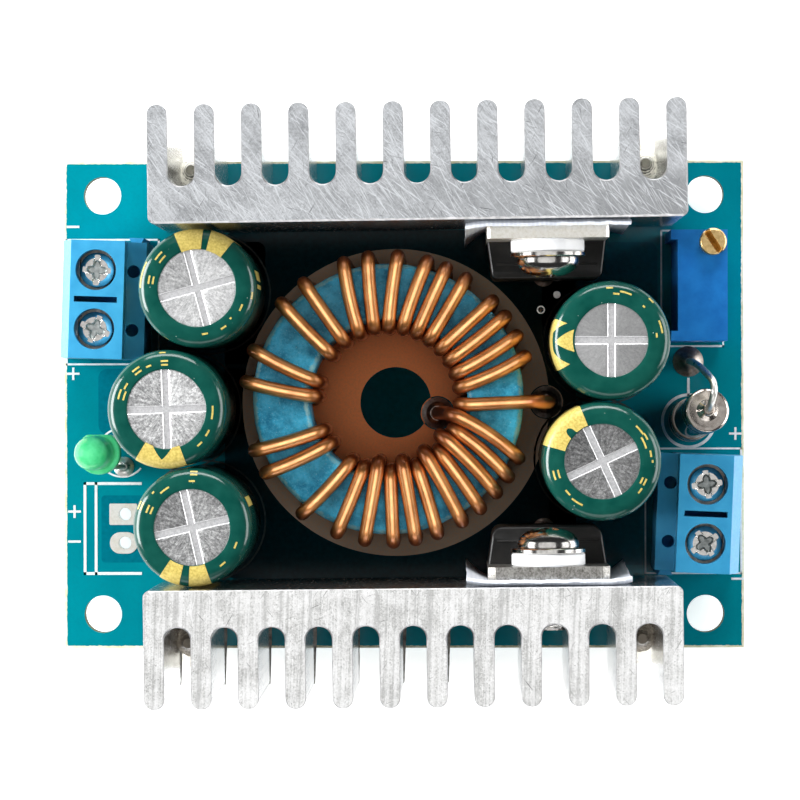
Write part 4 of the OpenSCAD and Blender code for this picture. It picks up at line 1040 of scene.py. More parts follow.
def device(tag, c, dx, chamfer, tabmat, curl, back):
    m = place(c) @ Matrix.Translation((dx, 0, 0))
    # tab with its hole, standing behind the moulding
    g = Geo()
    v, f = plate(tab_outline(10.2, 4.0, 18.0, chamfer), [circle(1.85, 48, 0, 15.2)], 0.3, 1.6)
    g.put(v, f, 0, UP)
    o = g.make(tag + "_tab", [tabmat], slot="tinned_copper", matrix=m, bevel=(0.07, 50, 2))
    g = Geo()
    for fx, fy in ((-2.54, -2.8), (0, -4.15), (2.54, -2.8)):
        pts = [(fx, -2.8, 3.2), (fx, -2.8, 2.2), (fx, -2.8 + 0.5 * (fy + 2.8), 1.3), (fx, fy, 0.5), (fx, fy, 0.0), (fx, fy, -1.6), (fx, fy, -3.1)]
        sm = smooth_path(pts, 0.2)
        v, f = sweep(sm, [0.36 - 0.06 * min(1, k / 10) for k in range(len(sm))], 10)
        g.put(v, f)
    o2 = g.make(tag + "_leads", M["tin"], slot="tinned_copper", matrix=m)
    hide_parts(tag + "_leadframe")
    # moulding: drafted block with round front corners, a parting ridge and a dimple in front
    r = 0.5 if chamfer < 0.4 else 0.9
    def outline(k, q):
        b, w1, w2, f0 = -0.3 - 0.004, 5.05 * k, 4.72 * k, -4.75 + q
        return [(-w1, -1.62), (-w2 + 0.0, f0 + r)] + arc(-w2 + r, f0 + r, r, 180, 270, 6) + arc(w2 - r, f0 + r, r, 270, 360, 6) + [(w2, f0 + r), (w1, -1.62)]
    rings = []
    for z, k, q in ((2.4, 0.985, 0.09), (2.5, 1.0, 0.0), (4.0, 1.0, 0.0), (9.0, 1.0, 0.0), (11.3, 1.0, 0.0), (11.43, 0.992, 0.05), (11.5, 0.972, 0.16)):
        rings.append([(x, y, z) for x, y in outline(k, q)])
    n = len(rings[0])
    verts = [p for rr in rings for p in rr]
    faces = []
    for i in range(len(rings) - 1):
        for k in range(n):
            k2 = (k + 1) % n
            faces.append((i * n + k, i * n + k2, (i + 1) * n + k2, (i + 1) * n + k))
    faces.append(tuple(range(n)))
    faces.append(tuple((len(rings) - 1) * n + k for k in range(n)))
    g = Geo()
    g.put(verts, faces)
    g.put(*box(-5.05, -1.62, 2.4, 5.05, -0.31, 3.98))
    # ridge left by the mould along the top, parallel to the front
    v, f = sweep([(-4.3, -3.55, 11.5), (4.3, -3.55, 11.5)], 0.09, 8)
    g.put(v, f)
    # ejector mark in front
    v, f = lathe([(0.0, -0.12), (0.92, -0.12), (0.98, 0.03), (1.08, 0.05), (1.14, 0.0), (1.14, -0.2), (0.0, -0.2)], 40)
    g.put(v, f, 0, Matrix.Translation((0, -4.75, 7.4)) @ UP)
    g.make(tag + "_moulding", M["epoxy"], slot="black_epoxy", replaces=(tag + "_body",), matrix=m, angle=30)
    # insulating sheet: beyond the tab its free ends stand off the metal, most at the foot
    nx, nz = 56, 40
    verts, faces = [], []
    for side in (0, 1):
        for j in range(nz + 1):
            for i in range(nx + 1):
                x = -6.9 + 13.8 * i / nx
                z = 0.6 + 18.2 * j / nz
                e = max(0.0, (abs(x) - 5.15) / 1.75)
                amount = curl[0] if x < 0 else curl[1]
                y = -0.02 - 0.26 * side - amount * e ** 1.25 * (1.0 - 0.85 * z / 18.8)
                y -= 0.05 * e * noise.noise(Vector((x, z * 0.5, dx)))
                y -= (0.30 + 0.08 * noise.noise(Vector((x * 1.3, dx, 2.0)))) * max(0.0, min(1.0, (z - 18.05) / 0.55)) ** 1.5
                fray = 0.10 * noise.noise(Vector((z * 2.2, x, dx))) if i in (0, nx) else 0.0
                top = 0.12 * noise.noise(Vector((x * 0.8, 3.1, dx))) + curl[2] * (x / 6.9) if j == nz else 0.0
                verts.append((x + fray, y, z + top))
    cols = nx + 1
    base = cols * (nz + 1)
    hole = lambda i, j: math.hypot(-6.9 + 13.8 * (i + 0.5) / nx, 0.6 + 18.2 * (j + 0.5) / nz - 15.2) < 1.6
    for j in range(nz):
        for i in range(nx):
            a, b, cc, d = j * cols + i, j * cols + i + 1, (j + 1) * cols + i + 1, (j + 1) * cols + i
            faces.append((a, b, cc, d))
            faces.append((a + base, d + base, cc + base, b + base))
    edge = [i for i in range(cols)] + [j * cols + nx for j in range(1, nz + 1)] + [nz * cols + i for i in range(nx - 1, -1, -1)] + [j * cols for j in range(nz - 1, 0, -1)]
    for a, b in zip(edge, edge[1:] + edge[:1]):
        faces.append((a, b, b + base, a + base))
    add(tag + "_insulator", verts, faces, M["cloth"], slot="silicone_pad", replaces=(tag + "_thermal_pad",), matrix=m, angle=50)
    # bush, washer, screw
    hm = m @ Matrix.Translation((0, -0.3, 15.2)) @ UP
    v, f = lathe([(1.55, 0.1), (1.82, 0.1), (1.82, 1.3), (2.98, 1.3), (3.1, 1.42), (3.1, 2.25), (2.98, 2.35), (1.55, 2.35)], 72, True)
    add(tag + "_insulating_bush", v, f, M["nylon"], slot="white_nylon", replaces=(tag + "_bush",), matrix=hm)
    v, f = lathe([(1.6, 2.36), (3.08, 2.36), (3.2, 2.44), (3.2, 2.72), (3.1, 2.8), (1.66, 2.8), (1.6, 2.74)], 72, True)
    add(tag + "_plain_washer", v, f, M["nickel"], slot="nickel_steel", replaces=(tag + "_washer",), matrix=hm)
    g = Geo()
    v, f = pan_head(2.65, 1.7, 1.4, 0.27, 0.85)
    g.put(v, f, 0, Matrix.Translation((0, 0, 2.805)) @ Matrix.Rotation(rad(30 + 50 * (dx > 0)), 4, "Z"))
    v, f = threaded(1.48, 0.2, 0.5, back, 2.82, 0.0)
    g.put(v, f)
    g.make(tag + "_clamp_screw", M["nickel"], slot="nickel_steel", replaces=(tag + "_screw",), matrix=hm, angle=40)


device("rectifier", SINK_OUT, DEV_OUT, 0.25, M["tab_out"], (1.35, 0.45, 0.25), -3.2)
device("switch", SINK_IN, DEV_IN, 0.6, M["tab_in"], (1.25, 1.4, 0.3), -4.1)

# ------------------------------------------------------------------ inductor
CORE = (-1.2, 0.5)
def core_ring():
    ri, ro, z0, z1, c = 6.8, 11.6, BT + CORE_Z, BT + CORE_Z + 9, 0.6
    prof = arc(ro - c, z0 + c, c, -90, 0, 7) + [(ro, z0 + 3), (ro, z1 - 3)] + arc(ro - c, z1 - c, c, 0, 90, 7) + [(9.9, z1), (8.5, z1)] + arc(ri + c, z1 - c, c, 90, 180, 7) + [(ri, z1 - 3), (ri, z0 + 3)] + arc(ri + c, z0 + c, c, 180, 270, 7) + [(8.5, z0), (9.9, z0)]
    v, f = lathe(prof, 256, True)
    out = []
    for x, y, z in v:
        q = Vector((x, y, z))
        d = 0.035 * noise.noise(q * 0.9) + 0.02 * noise.noise(q * 3.1)
        r = math.hypot(x, y)
        k = 1 + (d if r > 9.2 else -d) / r
        out.append((CORE[0] + x * k, CORE[1] + y * k, z + (0.5 * d if z > 5 else 0)))
    add("inductor_ring", out, f, M["core"], slot="core_paint", replaces=("inductor_core",), angle=60)


core_ring()
T_OUT = [0, 17, 26, 35, 43, 57, 66, 74, 86, 98, 108, 126, 138, 160, 173, 201, 211, 233, 249, 260.5, 272, 281, 290, 301, 310, 319, 327, 335.5]
T_IN = [-4, 9, 20.5, 32, 43.5, 55, 66.5, 78, 89.5, 101, 113.5, 127, 142, 166, 178, 205.5, 217.5, 239, 250.5, 261.2, 271.8, 282.4, 293, 303.6, 314.2, 324.8, 335.3, 345.8]
CROWDED = (19, 21, 23, 25, 27)


def winding():
    """One wire round the ring; every second of the crowded turns lies further into the bore than its neighbours."""
    wr = 0.6
    ri, ro = 6.8 - wr - 0.06, 11.6 + wr + 0.06
    zb, zt = BT + CORE_Z - 0.06 - wr, BT + CORE_Z + 9 + 0.06 + wr
    c = 0.95
    d = ro - ri
    def pol(r, a, z):
        return Vector((CORE[0] + r * math.cos(rad(a)), CORE[1] + r * math.sin(rad(a)), z))
    def mixa(a, b, t):
        return a + (b - a) * t
    def inner(i):
        return (ri - 0.7, 0.3) if i in CROWDED else (ri, 0.0)
    def ang(o, m, r):
        return mixa(o, m, min(1.0, max(0.0, (ro - r) / d)))
    def over(i):
        o, m = T_OUT[i], T_IN[i]
        r1, up = inner(i)
        lift = 0.03 + 0.08 * hash01(i, 3)
        p = [pol(ro + 0.02, o, mixa(zb, zt, t)) for t in (0.3, 0.5, 0.7)]
        for a in (0, 15, 30, 45, 60, 75, 90):
            r = ro - c + c * math.cos(rad(a))
            p.append(pol(r, ang(o, m, r), zt - c + c * math.sin(rad(a))))
        for t in (0.15, 0.3, 0.45, 0.6, 0.75, 0.88):
            r = mixa(ro - c, r1 + c, t)
            p.append(pol(r, ang(o, m, r), zt + up * t + lift * math.sin(math.pi * t)))
        for a in (90, 75, 60, 45, 30, 15, 0):
            r = r1 + c - c * math.cos(rad(a))
            p.append(pol(r, ang(o, m, r), zt + up - c + c * math.sin(rad(a))))
        return p
    def down(i):
        return [pol(inner(i)[0] - 0.01, T_IN[i], mixa(zt, zb, t)) for t in (0.3, 0.5, 0.7)]
    def under(i):
        m, o = T_IN[i], T_OUT[i + 1]
        r1, up = inner(i)
        p = []
        for a in (0, 22, 45, 68, 90):
            r = r1 + c - c * math.cos(rad(a))
            p.append(pol(r, ang(o, m, r), zb - up + c - c * math.sin(rad(a))))
        for t in (0.33, 0.66):
            r = mixa(r1 + c, ro - c, t)
            p.append(pol(r, ang(o, m, r), zb - up * (1 - t)))
        for a in (90, 68, 45, 22, 0):
            r = ro - c + c * math.cos(rad(a))
            p.append(pol(r, ang(o, m, r), zb + c - c * math.sin(rad(a))))
        return p
    n = len(T_OUT)
    s, e = (12.56, 0.2), (3.0, -0.76)
    pts = [Vector((s[0], s[1], z)) for z in (-1.5, 0.5, BT + 2, BT + 5, zt - 2.4)]
    pts += [Vector((s[0] - 0.12, s[1], zt - 1.3)), Vector((s[0] - 0.5, s[1], zt - 0.5)), Vector((s[0] - 1.2, s[1] + 0.05, zt))]
    for t in (0.3, 0.5, 0.7, 0.85, 1.0):
        a = pol(ri + c, T_IN[0], zt)
        b = Vector((s[0] - 1.2, s[1] + 0.05, zt))
        q = b.lerp(a, t)
        q.z += 0.12 * math.sin(math.pi * t)
        pts.append(q)
    for a in (70, 45, 20, 0):
        pts.append(pol(ri + c - c * math.cos(rad(a)), T_IN[0], zt - c + c * math.sin(rad(a))))
    pts += down(0)
    for i in range(n - 1):
        pts += under(i) + over(i + 1)
        if i < n - 2:
            pts += down(i + 1)
    m = T_IN[n - 1]
    rl = inner(n - 1)[0]
    pts += [pol(rl, m, mixa(zt, zb, 0.3)), pol(rl, m, zb + 4.5), pol(rl - 0.3, m, zb + 3.4), Vector((e[0] + 0.35, e[1] + 0.03, zb + 2.2)), Vector((e[0] + 0.1, e[1], zb + 1.4)), Vector((e[0], e[1], zb + 0.6)), Vector((e[0], e[1], 0.4)), Vector((e[0], e[1], -1.5))]
    sm = []
    for i in range(len(pts) - 1):
        if not sm or (pts[i] - sm[-1]).length > 0.02:
            sm.append(pts[i])
    sm.append(pts[-1])
    v, f = sweep(smooth_path(sm, 0.45), wr, 16)
    add("inductor_wire", v, f, M["wire"], slot="enamelled_copper", replaces=("inductor_winding",), angle=60)


winding()

# ------------------------------------------------------------------ capacitors
CH, CR = 17.0, 5.0
SLEEVE = [(3.2, CH - 0.12), (3.2, CH - 0.03), (3.25, CH + 0.0), (3.5, CH), (3.72, CH - 0.005), (3.95, CH - 0.015), (4.18, CH - 0.045), (4.4, CH - 0.10), (4.6, CH - 0.19), (4.76, CH - 0.31), (4.88, CH - 0.46), (4.96, CH - 0.66), (5.0, CH - 0.95),
          (5.0, CH - 3.0), (5.0, CH - 6.0), (5.0, CH - 10.0), (5.0, 4.0), (5.0, 3.15), (4.97, 3.0), (4.82, 2.75), (4.72, 2.5), (4.82, 2.25), (4.97, 2.02), (5.0, 1.85), (5.0, 0.5), (4.93, 0.25), (4.75, 0.1), (4.3, 0.1), (4.3, 0.2)]
# distance along the sleeve from the edge of the bare disc, over the rim and down the side
RIM = SLEEVE[2:18]


def on_sleeve(s, lift):
    acc = 0.0
    for (r0, z0), (r1, z1) in zip(RIM, RIM[1:]):
        l = math.hypot(r1 - r0, z1 - z0)
        if s <= acc + l or (r1, z1) == RIM[-1]:
            t = (s - acc) / l
            n = Vector((-(z1 - z0), r1 - r0)).normalized()
            return r0 + (r1 - r0) * t + n.x * lift, z0 + (z1 - z0) * t + n.y * lift
        acc += l


def s_of_r(r):
    """Distance along the rim at which the sleeve has radius r."""
    s = 0.0
    while s < 2.6:
        if on_sleeve(s, 0)[0] >= r:
            return s
        s += 0.02
    return 2.6


def crease(x, y, z, seed):
    """Shrink creases fan out over the rim."""
    r = math.hypot(x, y)
    if z < CH - 1.0 or r < 3.3:
        return 0.0
    a = math.atan2(y, x)
    return 0.024 * noise.noise(Vector((math.cos(a) * 7, math.sin(a) * 7, seed))) * math.sin(math.pi * min(1.0, (r - 3.3) / 1.7))


def ink(g, a0, a1, inner, outer, m, seed, rows=10, lift=0.02):
    """Print on the sleeve between two curves of distance over angle, as a thin closed film."""
    n = max(2, int((a1 - a0) / 1.2))
    top, low = [], []
    for i in range(n + 1):
        a = a0 + (a1 - a0) * i / n
        s0, s1 = inner(a), outer(a)
        for j in range(rows + 1):
            # close steps over the rim, one long step down the side
            bend = min(s1, 2.7)
            s = s0 + (bend - s0) * j / (rows - 1) if j < rows and s1 > 2.7 else s0 + (s1 - s0) * j / rows
            for lst, l in ((top, lift), (low, -0.02)):
                r, z = on_sleeve(max(0.0, s), l)
                x, y = r * math.cos(rad(a)), r * math.sin(rad(a))
                lst.append((x, y, z + crease(x, y, z, seed)))
    k = rows + 1
    b = len(top)
    faces = []
    for i in range(n):
        for j in range(rows):
            q = (i * k + j, (i + 1) * k + j, (i + 1) * k + j + 1, i * k + j + 1)
            faces.append(q)
            faces.append(tuple(b + x for x in reversed(q)))
    rim = [i * k for i in range(n + 1)] + [n * k + j for j in range(1, k)] + [i * k + rows for i in range(n - 1, -1, -1)] + [j for j in range(rows - 1, 0, -1)]
    for p, q in zip(rim, rim[1:] + rim[:1]):
        faces.append((p, q, q + b, p + b))
    g.put(top + low, faces, 0, m)


flat = lambda v: (lambda a: v)
def slope(a0, v0, a1, v1):
    return lambda a: v0 + (v1 - v0) * (a - a0) / (a1 - a0)


def stroke(g, a, line, m, seed, w=0.15):
    """Printed line on the rim: points are (mm along the rim, mm out from the disc edge) about angle a."""
    pts = []
    for p, q in zip(line, line[1:]):
        k = max(1, int(math.hypot(q[0] - p[0], q[1] - p[1]) / 0.1))
        pts += [(p[0] + (q[0] - p[0]) * i / k, p[1] + (q[1] - p[1]) * i / k) for i in range(k)]
    pts.append(line[-1])
    n = len(pts)
    top, low = [], []
    for i, (u, v) in enumerate(pts):
        p, q = pts[max(0, i - 1)], pts[min(n - 1, i + 1)]
        l = math.hypot(q[0] - p[0], q[1] - p[1]) or 1.0
        nx, ny = -(q[1] - p[1]) / l, (q[0] - p[0]) / l
        for sd in (-0.5, 0.5):
            uu, vv = u + sd * w * nx, max(0.02, v + sd * w * ny)
            t = rad(a) + uu / 4.15
            for lst, lf in ((top, 0.02), (low, -0.02)):
                r, z = on_sleeve(vv, lf)
                x, y = r * math.cos(t), r * math.sin(t)
                lst.append((x, y, z + crease(x, y, z, seed)))
    b = 2 * n
    faces = [(0, 1, b + 1, b), (2 * n - 2, b + 2 * n - 2, b + 2 * n - 1, 2 * n - 1)]
    for i in range(n - 1):
        k = 2 * i
        faces += [(k, k + 2, k + 3, k + 1), (b + k, b + k + 1, b + k + 3, b + k + 2), (k, b + k, b + k + 2, k + 2), (k + 1, k + 3, b + k + 3, b + k + 1)]
    g.put(top + low, faces, 0, m)


# plain printed dashes
SIGNS = {
    "dot": [[(-0.14, 0.66), (0.14, 0.66)]],
    "dash": [[(-0.34, 0.66), (0.34, 0.66)]],
    "long_dash": [[(-0.6 + 0.1 * k, 0.66) for k in range(13)]],
    "dashes": [[(-0.4, 0.46), (0.4, 0.46)], [(-0.4, 0.86), (0.4, 0.86)]],
    "rule": [[(-0.1 * 11 + 0.1 * k, 1.7) for k in range(23)]],
}


def capacitor(tag, c, canmat, disc, bands, signs, blocks):
    x, y, score = c
    m = Matrix.Translation((x, y, BT))
    N = 144
    v, f = lathe(SLEEVE + [(4.87, 0.22), (4.87, CH - 1.0), (4.6, CH - 0.4), (4.2, CH - 0.24), (3.2, CH - 0.14)], N, True)
    out = []
    for a, b, z in v:
        # the cut edge of the sleeve is not quite round
        r = math.hypot(a, b)
        if r < 3.3 and z > CH - 0.2:
            t = math.atan2(b, a)
            k = (r + disc - 3.2 + 0.05 * noise.noise(Vector((math.cos(t) * 1.6, math.sin(t) * 1.6, x + 3.0)))) / r
            a, b = a * k, b * k
        out.append((a, b, z + crease(a, b, z, x)))
    add(tag + "_wrap", out, f, M["sleeve"], slot="green_sleeve", replaces=(tag + "_sleeve",), matrix=m, angle=50)
    # bare can end: four leaves between the crossed vent grooves
    g = Geo()
    zt = CH - 0.1
    hw, R = 0.27, 3.45
    for q in range(4):
        a0 = math.degrees(math.asin(hw / R))
        pts = [(hw, hw)] + [(p[0], p[1]) for p in arc(0, 0, R, a0, 90 - a0, 20)]
        grid_v, grid_f = [], []
        n = len(pts)
        cx, cy = 1.6, 1.6
        # the sloped rows along each groove carry the painted highlight of its edges
        rows = ((1.0, -0.16), (1.0, -0.07), (0.975, -0.02), (0.945, 0.0), (0.7, 0.012), (0.35, 0.02))
        ids = []
        for k, dz in rows:
            for p in pts:
                xx, yy = cx + (p[0] - cx) * k, cy + (p[1] - cy) * k
                grid_v.append((xx, yy, zt + dz))
        for i in range(len(rows) - 1):
            for k in range(n):
                k2 = (k + 1) % n
                grid_f.append((i * n + k, i * n + k2, (i + 1) * n + k2, (i + 1) * n + k))
                ids.append(1 if i in (1, 2) else 0)
        grid_f.append(tuple((len(rows) - 1) * n + k for k in range(n)))
        grid_f.append(tuple(range(n)))
        turn = Matrix.Rotation(rad(90 * q + score), 4, "Z")
        g.put(grid_v, grid_f, ids + [0, 0], turn)
    prof = [(0, zt - 0.13), (3.4, zt - 0.13), (4.1, zt - 0.16), (4.55, zt - 0.3), (4.82, zt - 0.8), (4.84, zt - 1.2), (4.84, 3.1), (4.5, 2.6), (4.84, 2.0), (4.84, 0.5), (4.6, 0.25), (0, 0.45)]
    v, f = lathe(prof, 96)
    g.put(v, f, 2)
    g.make(tag + "_can_end", [canmat, M["can_edge_highlight"], M["can_floor"]], slot="can_aluminium", replaces=(tag + "_can",), matrix=m, angle=30)
    g = Geo()
    for a0, a1, inner, outer in bands:
        ink(g, a0, a1, inner, outer, m, x, rows=34)
    for kind, a, size, out_by in signs:
        for line in SIGNS[kind]:
            stroke(g, a, [(u * size, 0.66 + (w - 0.66) * size + out_by) for u, w in line], m, x)
    for a0, a1, s0, s1 in blocks:
        ink(g, a0, a1, flat(s0), flat(s1), m, x, rows=4)
    g.make(tag + "_print", M["gold"], slot="green_sleeve", angle=40)


END = 14.6
# inner edge with a V-shaped or rounded notch
def vee(a0, a1, apex, deep):
    def f(a):
        if not a0 < a < a1:
            return 0.0
        t = (a - a0) / (apex - a0) if a < apex else (a1 - a) / (a1 - apex)
        return deep * t
    return f
def scoop(c, half, deep):
    return lambda a: deep * math.sqrt(max(0.0, 1 - ((a - c) / half) ** 2)) if abs(a - c) < half else 0.0

S47, S40, S42, S39 = s_of_r(4.72), s_of_r(4.0), s_of_r(4.25), s_of_r(3.95)
capacitor("output_capacitor_1", CAPS[0], M["can_1"], 3.27, [(84, 113, flat(0.0), flat(END)), (52, 76, flat(0.0), flat(END))],
          [("dashes", 140, 1.1, 0.1), ("dashes", 170, 0.9, 0.0), ("rule", 166, 0.9, 0.0), ("dash", -24, 0.9, 0.15), ("dash", -8, 0.8, 0.8), ("dot", -42, 0.7, -0.1), ("dash", -56, 0.8, 0.1), ("dash", -80, 0.8, 0.0)],
          [(176, 186, 3.2, 9.0), (192, 196, 3.2, 9.0), (0, 4, 3.2, 9.0), (8, 18, 3.2, 9.0)])
capacitor("output_capacitor_2", CAPS[1], M["can_2"], 3.33, [(238, 290, vee(250, 278, 265, S42), flat(END))],
          [("dashes", 162, 1.1, 0.0), ("dash", 150, 0.9, 0.0), ("dashes", 127, 0.9, 0.15), ("dash", 112, 0.7, 0.0), ("dashes", 92, 0.8, 0.0), ("dash", 94, 0.7, 0.95), ("long_dash", -4, 1.0, 0.0), ("dash", -30, 0.9, 0.1), ("dash", -46, 0.8, 0.15)],
          [(96, 108, 3.2, 9.0), (114, 118, 3.2, 9.0)])
capacitor("output_capacitor_3", CAPS[2], M["can_3"], 3.2, [(236, 257, flat(0.0), flat(END)), (266.5, 289, flat(0.0), flat(END))],
          [("dashes", 157, 0.9, -0.05), ("dashes", 157, 0.8, 0.85), ("dot", 138, 0.8, 0.5), ("long_dash", 126, 0.8, 0.0), ("dash", 90, 0.8, 0.0), ("dashes", 88, 0.7, 0.7), ("dash", -22, 0.9, 0.05), ("dash", -50, 0.9, 0.1)],
          [(20, 30, 3.2, 9.0)])
capacitor("input_capacitor_1", CAPS[3], M["can_4"], 3.08, [(164, 197.5, flat(0.0), vee(164, 197.5, 182, S47)), (159, 173, slope(159, S39, 173, S47 + 0.35), flat(END)), (191, 210, slope(191, S47 + 0.35, 210, S40), flat(END)), (173, 191, flat(S47 + 0.35), flat(END))],
          [("dash", 84, 0.8, 0.0), ("dash", 92, 0.8, 0.5), ("dash", 73, 1.5, 0.25), ("dot", 46, 0.9, 0.0), ("dash", 45, 0.7, 0.85), ("long_dash", 15, 0.9, 0.4), ("dash", 6, 0.6, -0.1)],
          [(-10, 0, 3.2, 9.0), (6, 10, 3.2, 9.0)])
capacitor("input_capacitor_2", CAPS[4], M["can_5"], 3.17, [(112, 164.5, scoop(137.5, 6, S40), flat(END))],
          [("long_dash", 40, 0.8, 0.2), ("dash", 30, 0.9, 0.3), ("rule", 24, 0.5, -0.6), ("dot", 0, 0.8, 0.3), ("dash", 9, 0.8, 0.2), ("dashes", -26, 0.8, -0.1), ("dash", -38, 0.8, 0.1), ("dashes", 196, 1.0, 0.1), ("dash", 222, 0.9, 0.0), ("rule", 238, 0.5, -0.4)],
          [(-20, -10, 3.2, 9.0)])
cad("capacitor_seals", M["rubber"])
cad("capacitor_leads", M["tin"])

# ------------------------------------------------------------------ screw terminals
TERM_OUT, TERM_IN = (-26.38, 9.1, 178.2), (26.06, -9.43, -2.4)


def terminal_head(r, z0, h, n=120, rings=44):
    """Low screw head: star-shaped recess with a raised lip and a slot through the rim."""
    verts, faces = [], []

    def height(x, y):
        d = math.hypot(x, y)
        a = math.atan2(y, x)
        z = z0 + h
        if d > 1.0:
            z -= 0.46 * ((d - 1.0) / (r - 1.0)) ** 1.4
        lobe = 0.74 + 0.20 * math.cos(4 * a)
        cut = 0.0
        if d < lobe:
            cut = min(0.55, (lobe - d) * 2.6)
        for p, q, deep in ((x, y, 0.26), (y, x, 0.16)):
            if abs(q) < 0.30 and abs(p) > 0.6:
                floor = z0 + h - deep
                cut = max(cut, (z - floor) * min(1.0, (0.30 - abs(q)) / 0.05))
        return z - cut

    verts.append((0, 0, height(0, 0)))
    for i in range(1, rings + 1):
        d = r * i / rings
        for k in range(n):
            a = 2 * math.pi * k / n
            x, y = d * math.cos(a), d * math.sin(a)
            verts.append((x, y, height(x, y)))
    for z, s in ((z0 + 0.22 * h, 1.0), (z0 + 0.08, 1.0), (z0, 0.96)):
        for k in range(n):
            a = 2 * math.pi * k / n
            verts.append((s * r * math.cos(a), s * r * math.sin(a), z))
    for k in range(n):
        faces.append((0, 1 + k, 1 + (k + 1) % n))
    for i in range(rings - 1 + 3):
        a0, a1 = 1 + i * n, 1 + (i + 1) * n
        for k in range(n):
            k2 = (k + 1) % n
            faces.append((a0 + k, a1 + k, a1 + k2, a0 + k2))
    last = 1 + (rings + 2) * n
    faces.append(tuple(last + k for k in range(n)))
    ids = []
    for f in faces:
        x, y = sum(verts[k][0] for k in f) / len(f), sum(verts[k][1] for k in f) / len(f)
        ids.append(1 if len(f) < 5 and math.hypot(x, y) < 0.68 + 0.20 * math.cos(4 * math.atan2(y, x)) else 0)
    return verts, faces, ids


for side, c, angles in (("output", TERM_OUT, {"minus": 88, "plus": -20}), ("input", TERM_IN, {"plus": 10, "minus": 35})):
    cad(side + "_terminal_housing", M["blue"], 0.13, 28, 3)
    cad(side + "_terminal_contacts", M["tin"], 0.05)
    for pole, y in (("minus", -2.54), ("plus", 2.54)):
        body = f"{side}_{pole}"
        cad(f"{side}_clamp_{pole}", M["tin"], 0.12, 30, 2)
        g = Geo()
        v, f, ids = terminal_head(1.49, 8.3, 0.945)
        g.put(v, f, ids)
        v, f = threaded(1.24, 0.14, 0.5, 4.65, 8.32, 0.0, n=32)
        g.put(v, f)
        # the star recess takes a painted shade, lighter on the output terminal
        g.make(f"{body}_terminal_screw", [M["nickel"], M["recess_pale" if side == "output" else "recess"]], slot="nickel_steel", body=f"{body}_screw", replaces=(f"{side}_screw_{pole}",),
               matrix=place(c) @ Matrix.Translation((0, y, 0)) @ Matrix.Rotation(rad(angles[pole]), 4, "Z"), angle=38)

# ------------------------------------------------------------------ trimmer
cad("trimmer_body", M["trim"], 0.12, 30, 3)
cad("trimmer_pins", M["tin"])


def trimmer_screw():
    m = Matrix.Translation((26.6, 13.9, BT)) @ Matrix.Rotation(rad(-57), 4, "Z")
    r, z0, z1, n, rings = 1.15, 10.04, 11.24, 72, 24
    def height(x, y):
        d = math.hypot(x, y)
        z = z1
        if d > r - 0.22:
            t = (d - (r - 0.22)) / 0.22
            z -= 0.2 * (1 - math.sqrt(max(0.0, 1 - t * t)))
        if abs(y) < 0.27:
            z -= 0.62 * (1 - abs(y) / 0.27) ** 0.8
        return z
    verts = [(0, 0, height(0, 0))]
    for i in range(1, rings + 1):
        for k in range(n):
            a = 2 * math.pi * k / n
            x, y = r * i / rings * math.cos(a), r * i / rings * math.sin(a)
            verts.append((x, y, height(x, y)))
    low = [(z0 + 0.42, 1.15), (z0 + 0.05, 1.15), (z0, 1.1), (z0, 0.9), (7.0, 0.9)]
    for z, rr in low:
        for k in range(n):
            a = 2 * math.pi * k / n
            verts.append((rr * math.cos(a), rr * math.sin(a), z))
    faces = [(0, 1 + k, 1 + (k + 1) % n) for k in range(n)]
    for i in range(rings - 1 + len(low)):
        for k in range(n):
            k2 = (k + 1) % n
            faces.append((1 + i * n + k, 1 + (i + 1) * n + k, 1 + (i + 1) * n + k2, 1 + i * n + k2))
    faces.append(tuple(1 + (rings - 1 + len(low)) * n + k for k in range(n)))
    add("trimmer_slotted_screw", verts, faces, M["brass"], slot="brass_screw", body="trimmer_adjuster", replaces=("trimmer_screw",), matrix=m, angle=38)


trimmer_screw()

# ------------------------------------------------------------------ lamp and fuse
def lamp():
    m = Matrix.Translation((-26.66, -4.2, BT + 1.9)) @ Matrix.Rotation(rad(-7), 4, "Y")
    prof = [(0, 0), (1.82, 0), (1.9, 0.08), (1.9, 0.86), (1.8, 0.98), (1.62, 1.0), (1.53, 1.06), (1.5, 1.2), (1.49, 2.5), (1.48, 3.8)] + [(1.48 * math.cos(rad(a)), 3.8 + 1.5 * math.sin(rad(a))) for a in (12, 24, 36, 48, 60, 70, 80)] + [(0, 5.3)]
    v, f = lathe(prof, 64)
    out = []
    for x, y, z in v:
        if z < 1.03 and y > 1.6:
            y = 1.6
        out.append((x, y, z))
    add("lamp_lens", out, f, M["lens"], slot="green_lens", replaces=("led_lens",), matrix=m, angle=45)
    g = Geo()
    for s in (-1, 1):
        y = -4.2 + s * 1.27
        foot, axis = Vector((-26.66, y, BT + 1.9)), Vector((math.sin(rad(-7)), 0, math.cos(rad(-7))))
        pts = [foot + 1.1 * axis, foot + 0.3 * axis, foot - 0.3 * axis, foot - 0.5 * axis, (-24.85, y, BT + 0.4), (-24.75, y, BT - 0.3), (-24.75, y, -0.6), (-24.75, y, -1.5)]
        g.put(*sweep(smooth_path(pts, 0.2), 0.24, 10))
    g.make("lamp_leads", M["tin"], slot="tinned_copper", replaces=("led_leads",))


lamp()


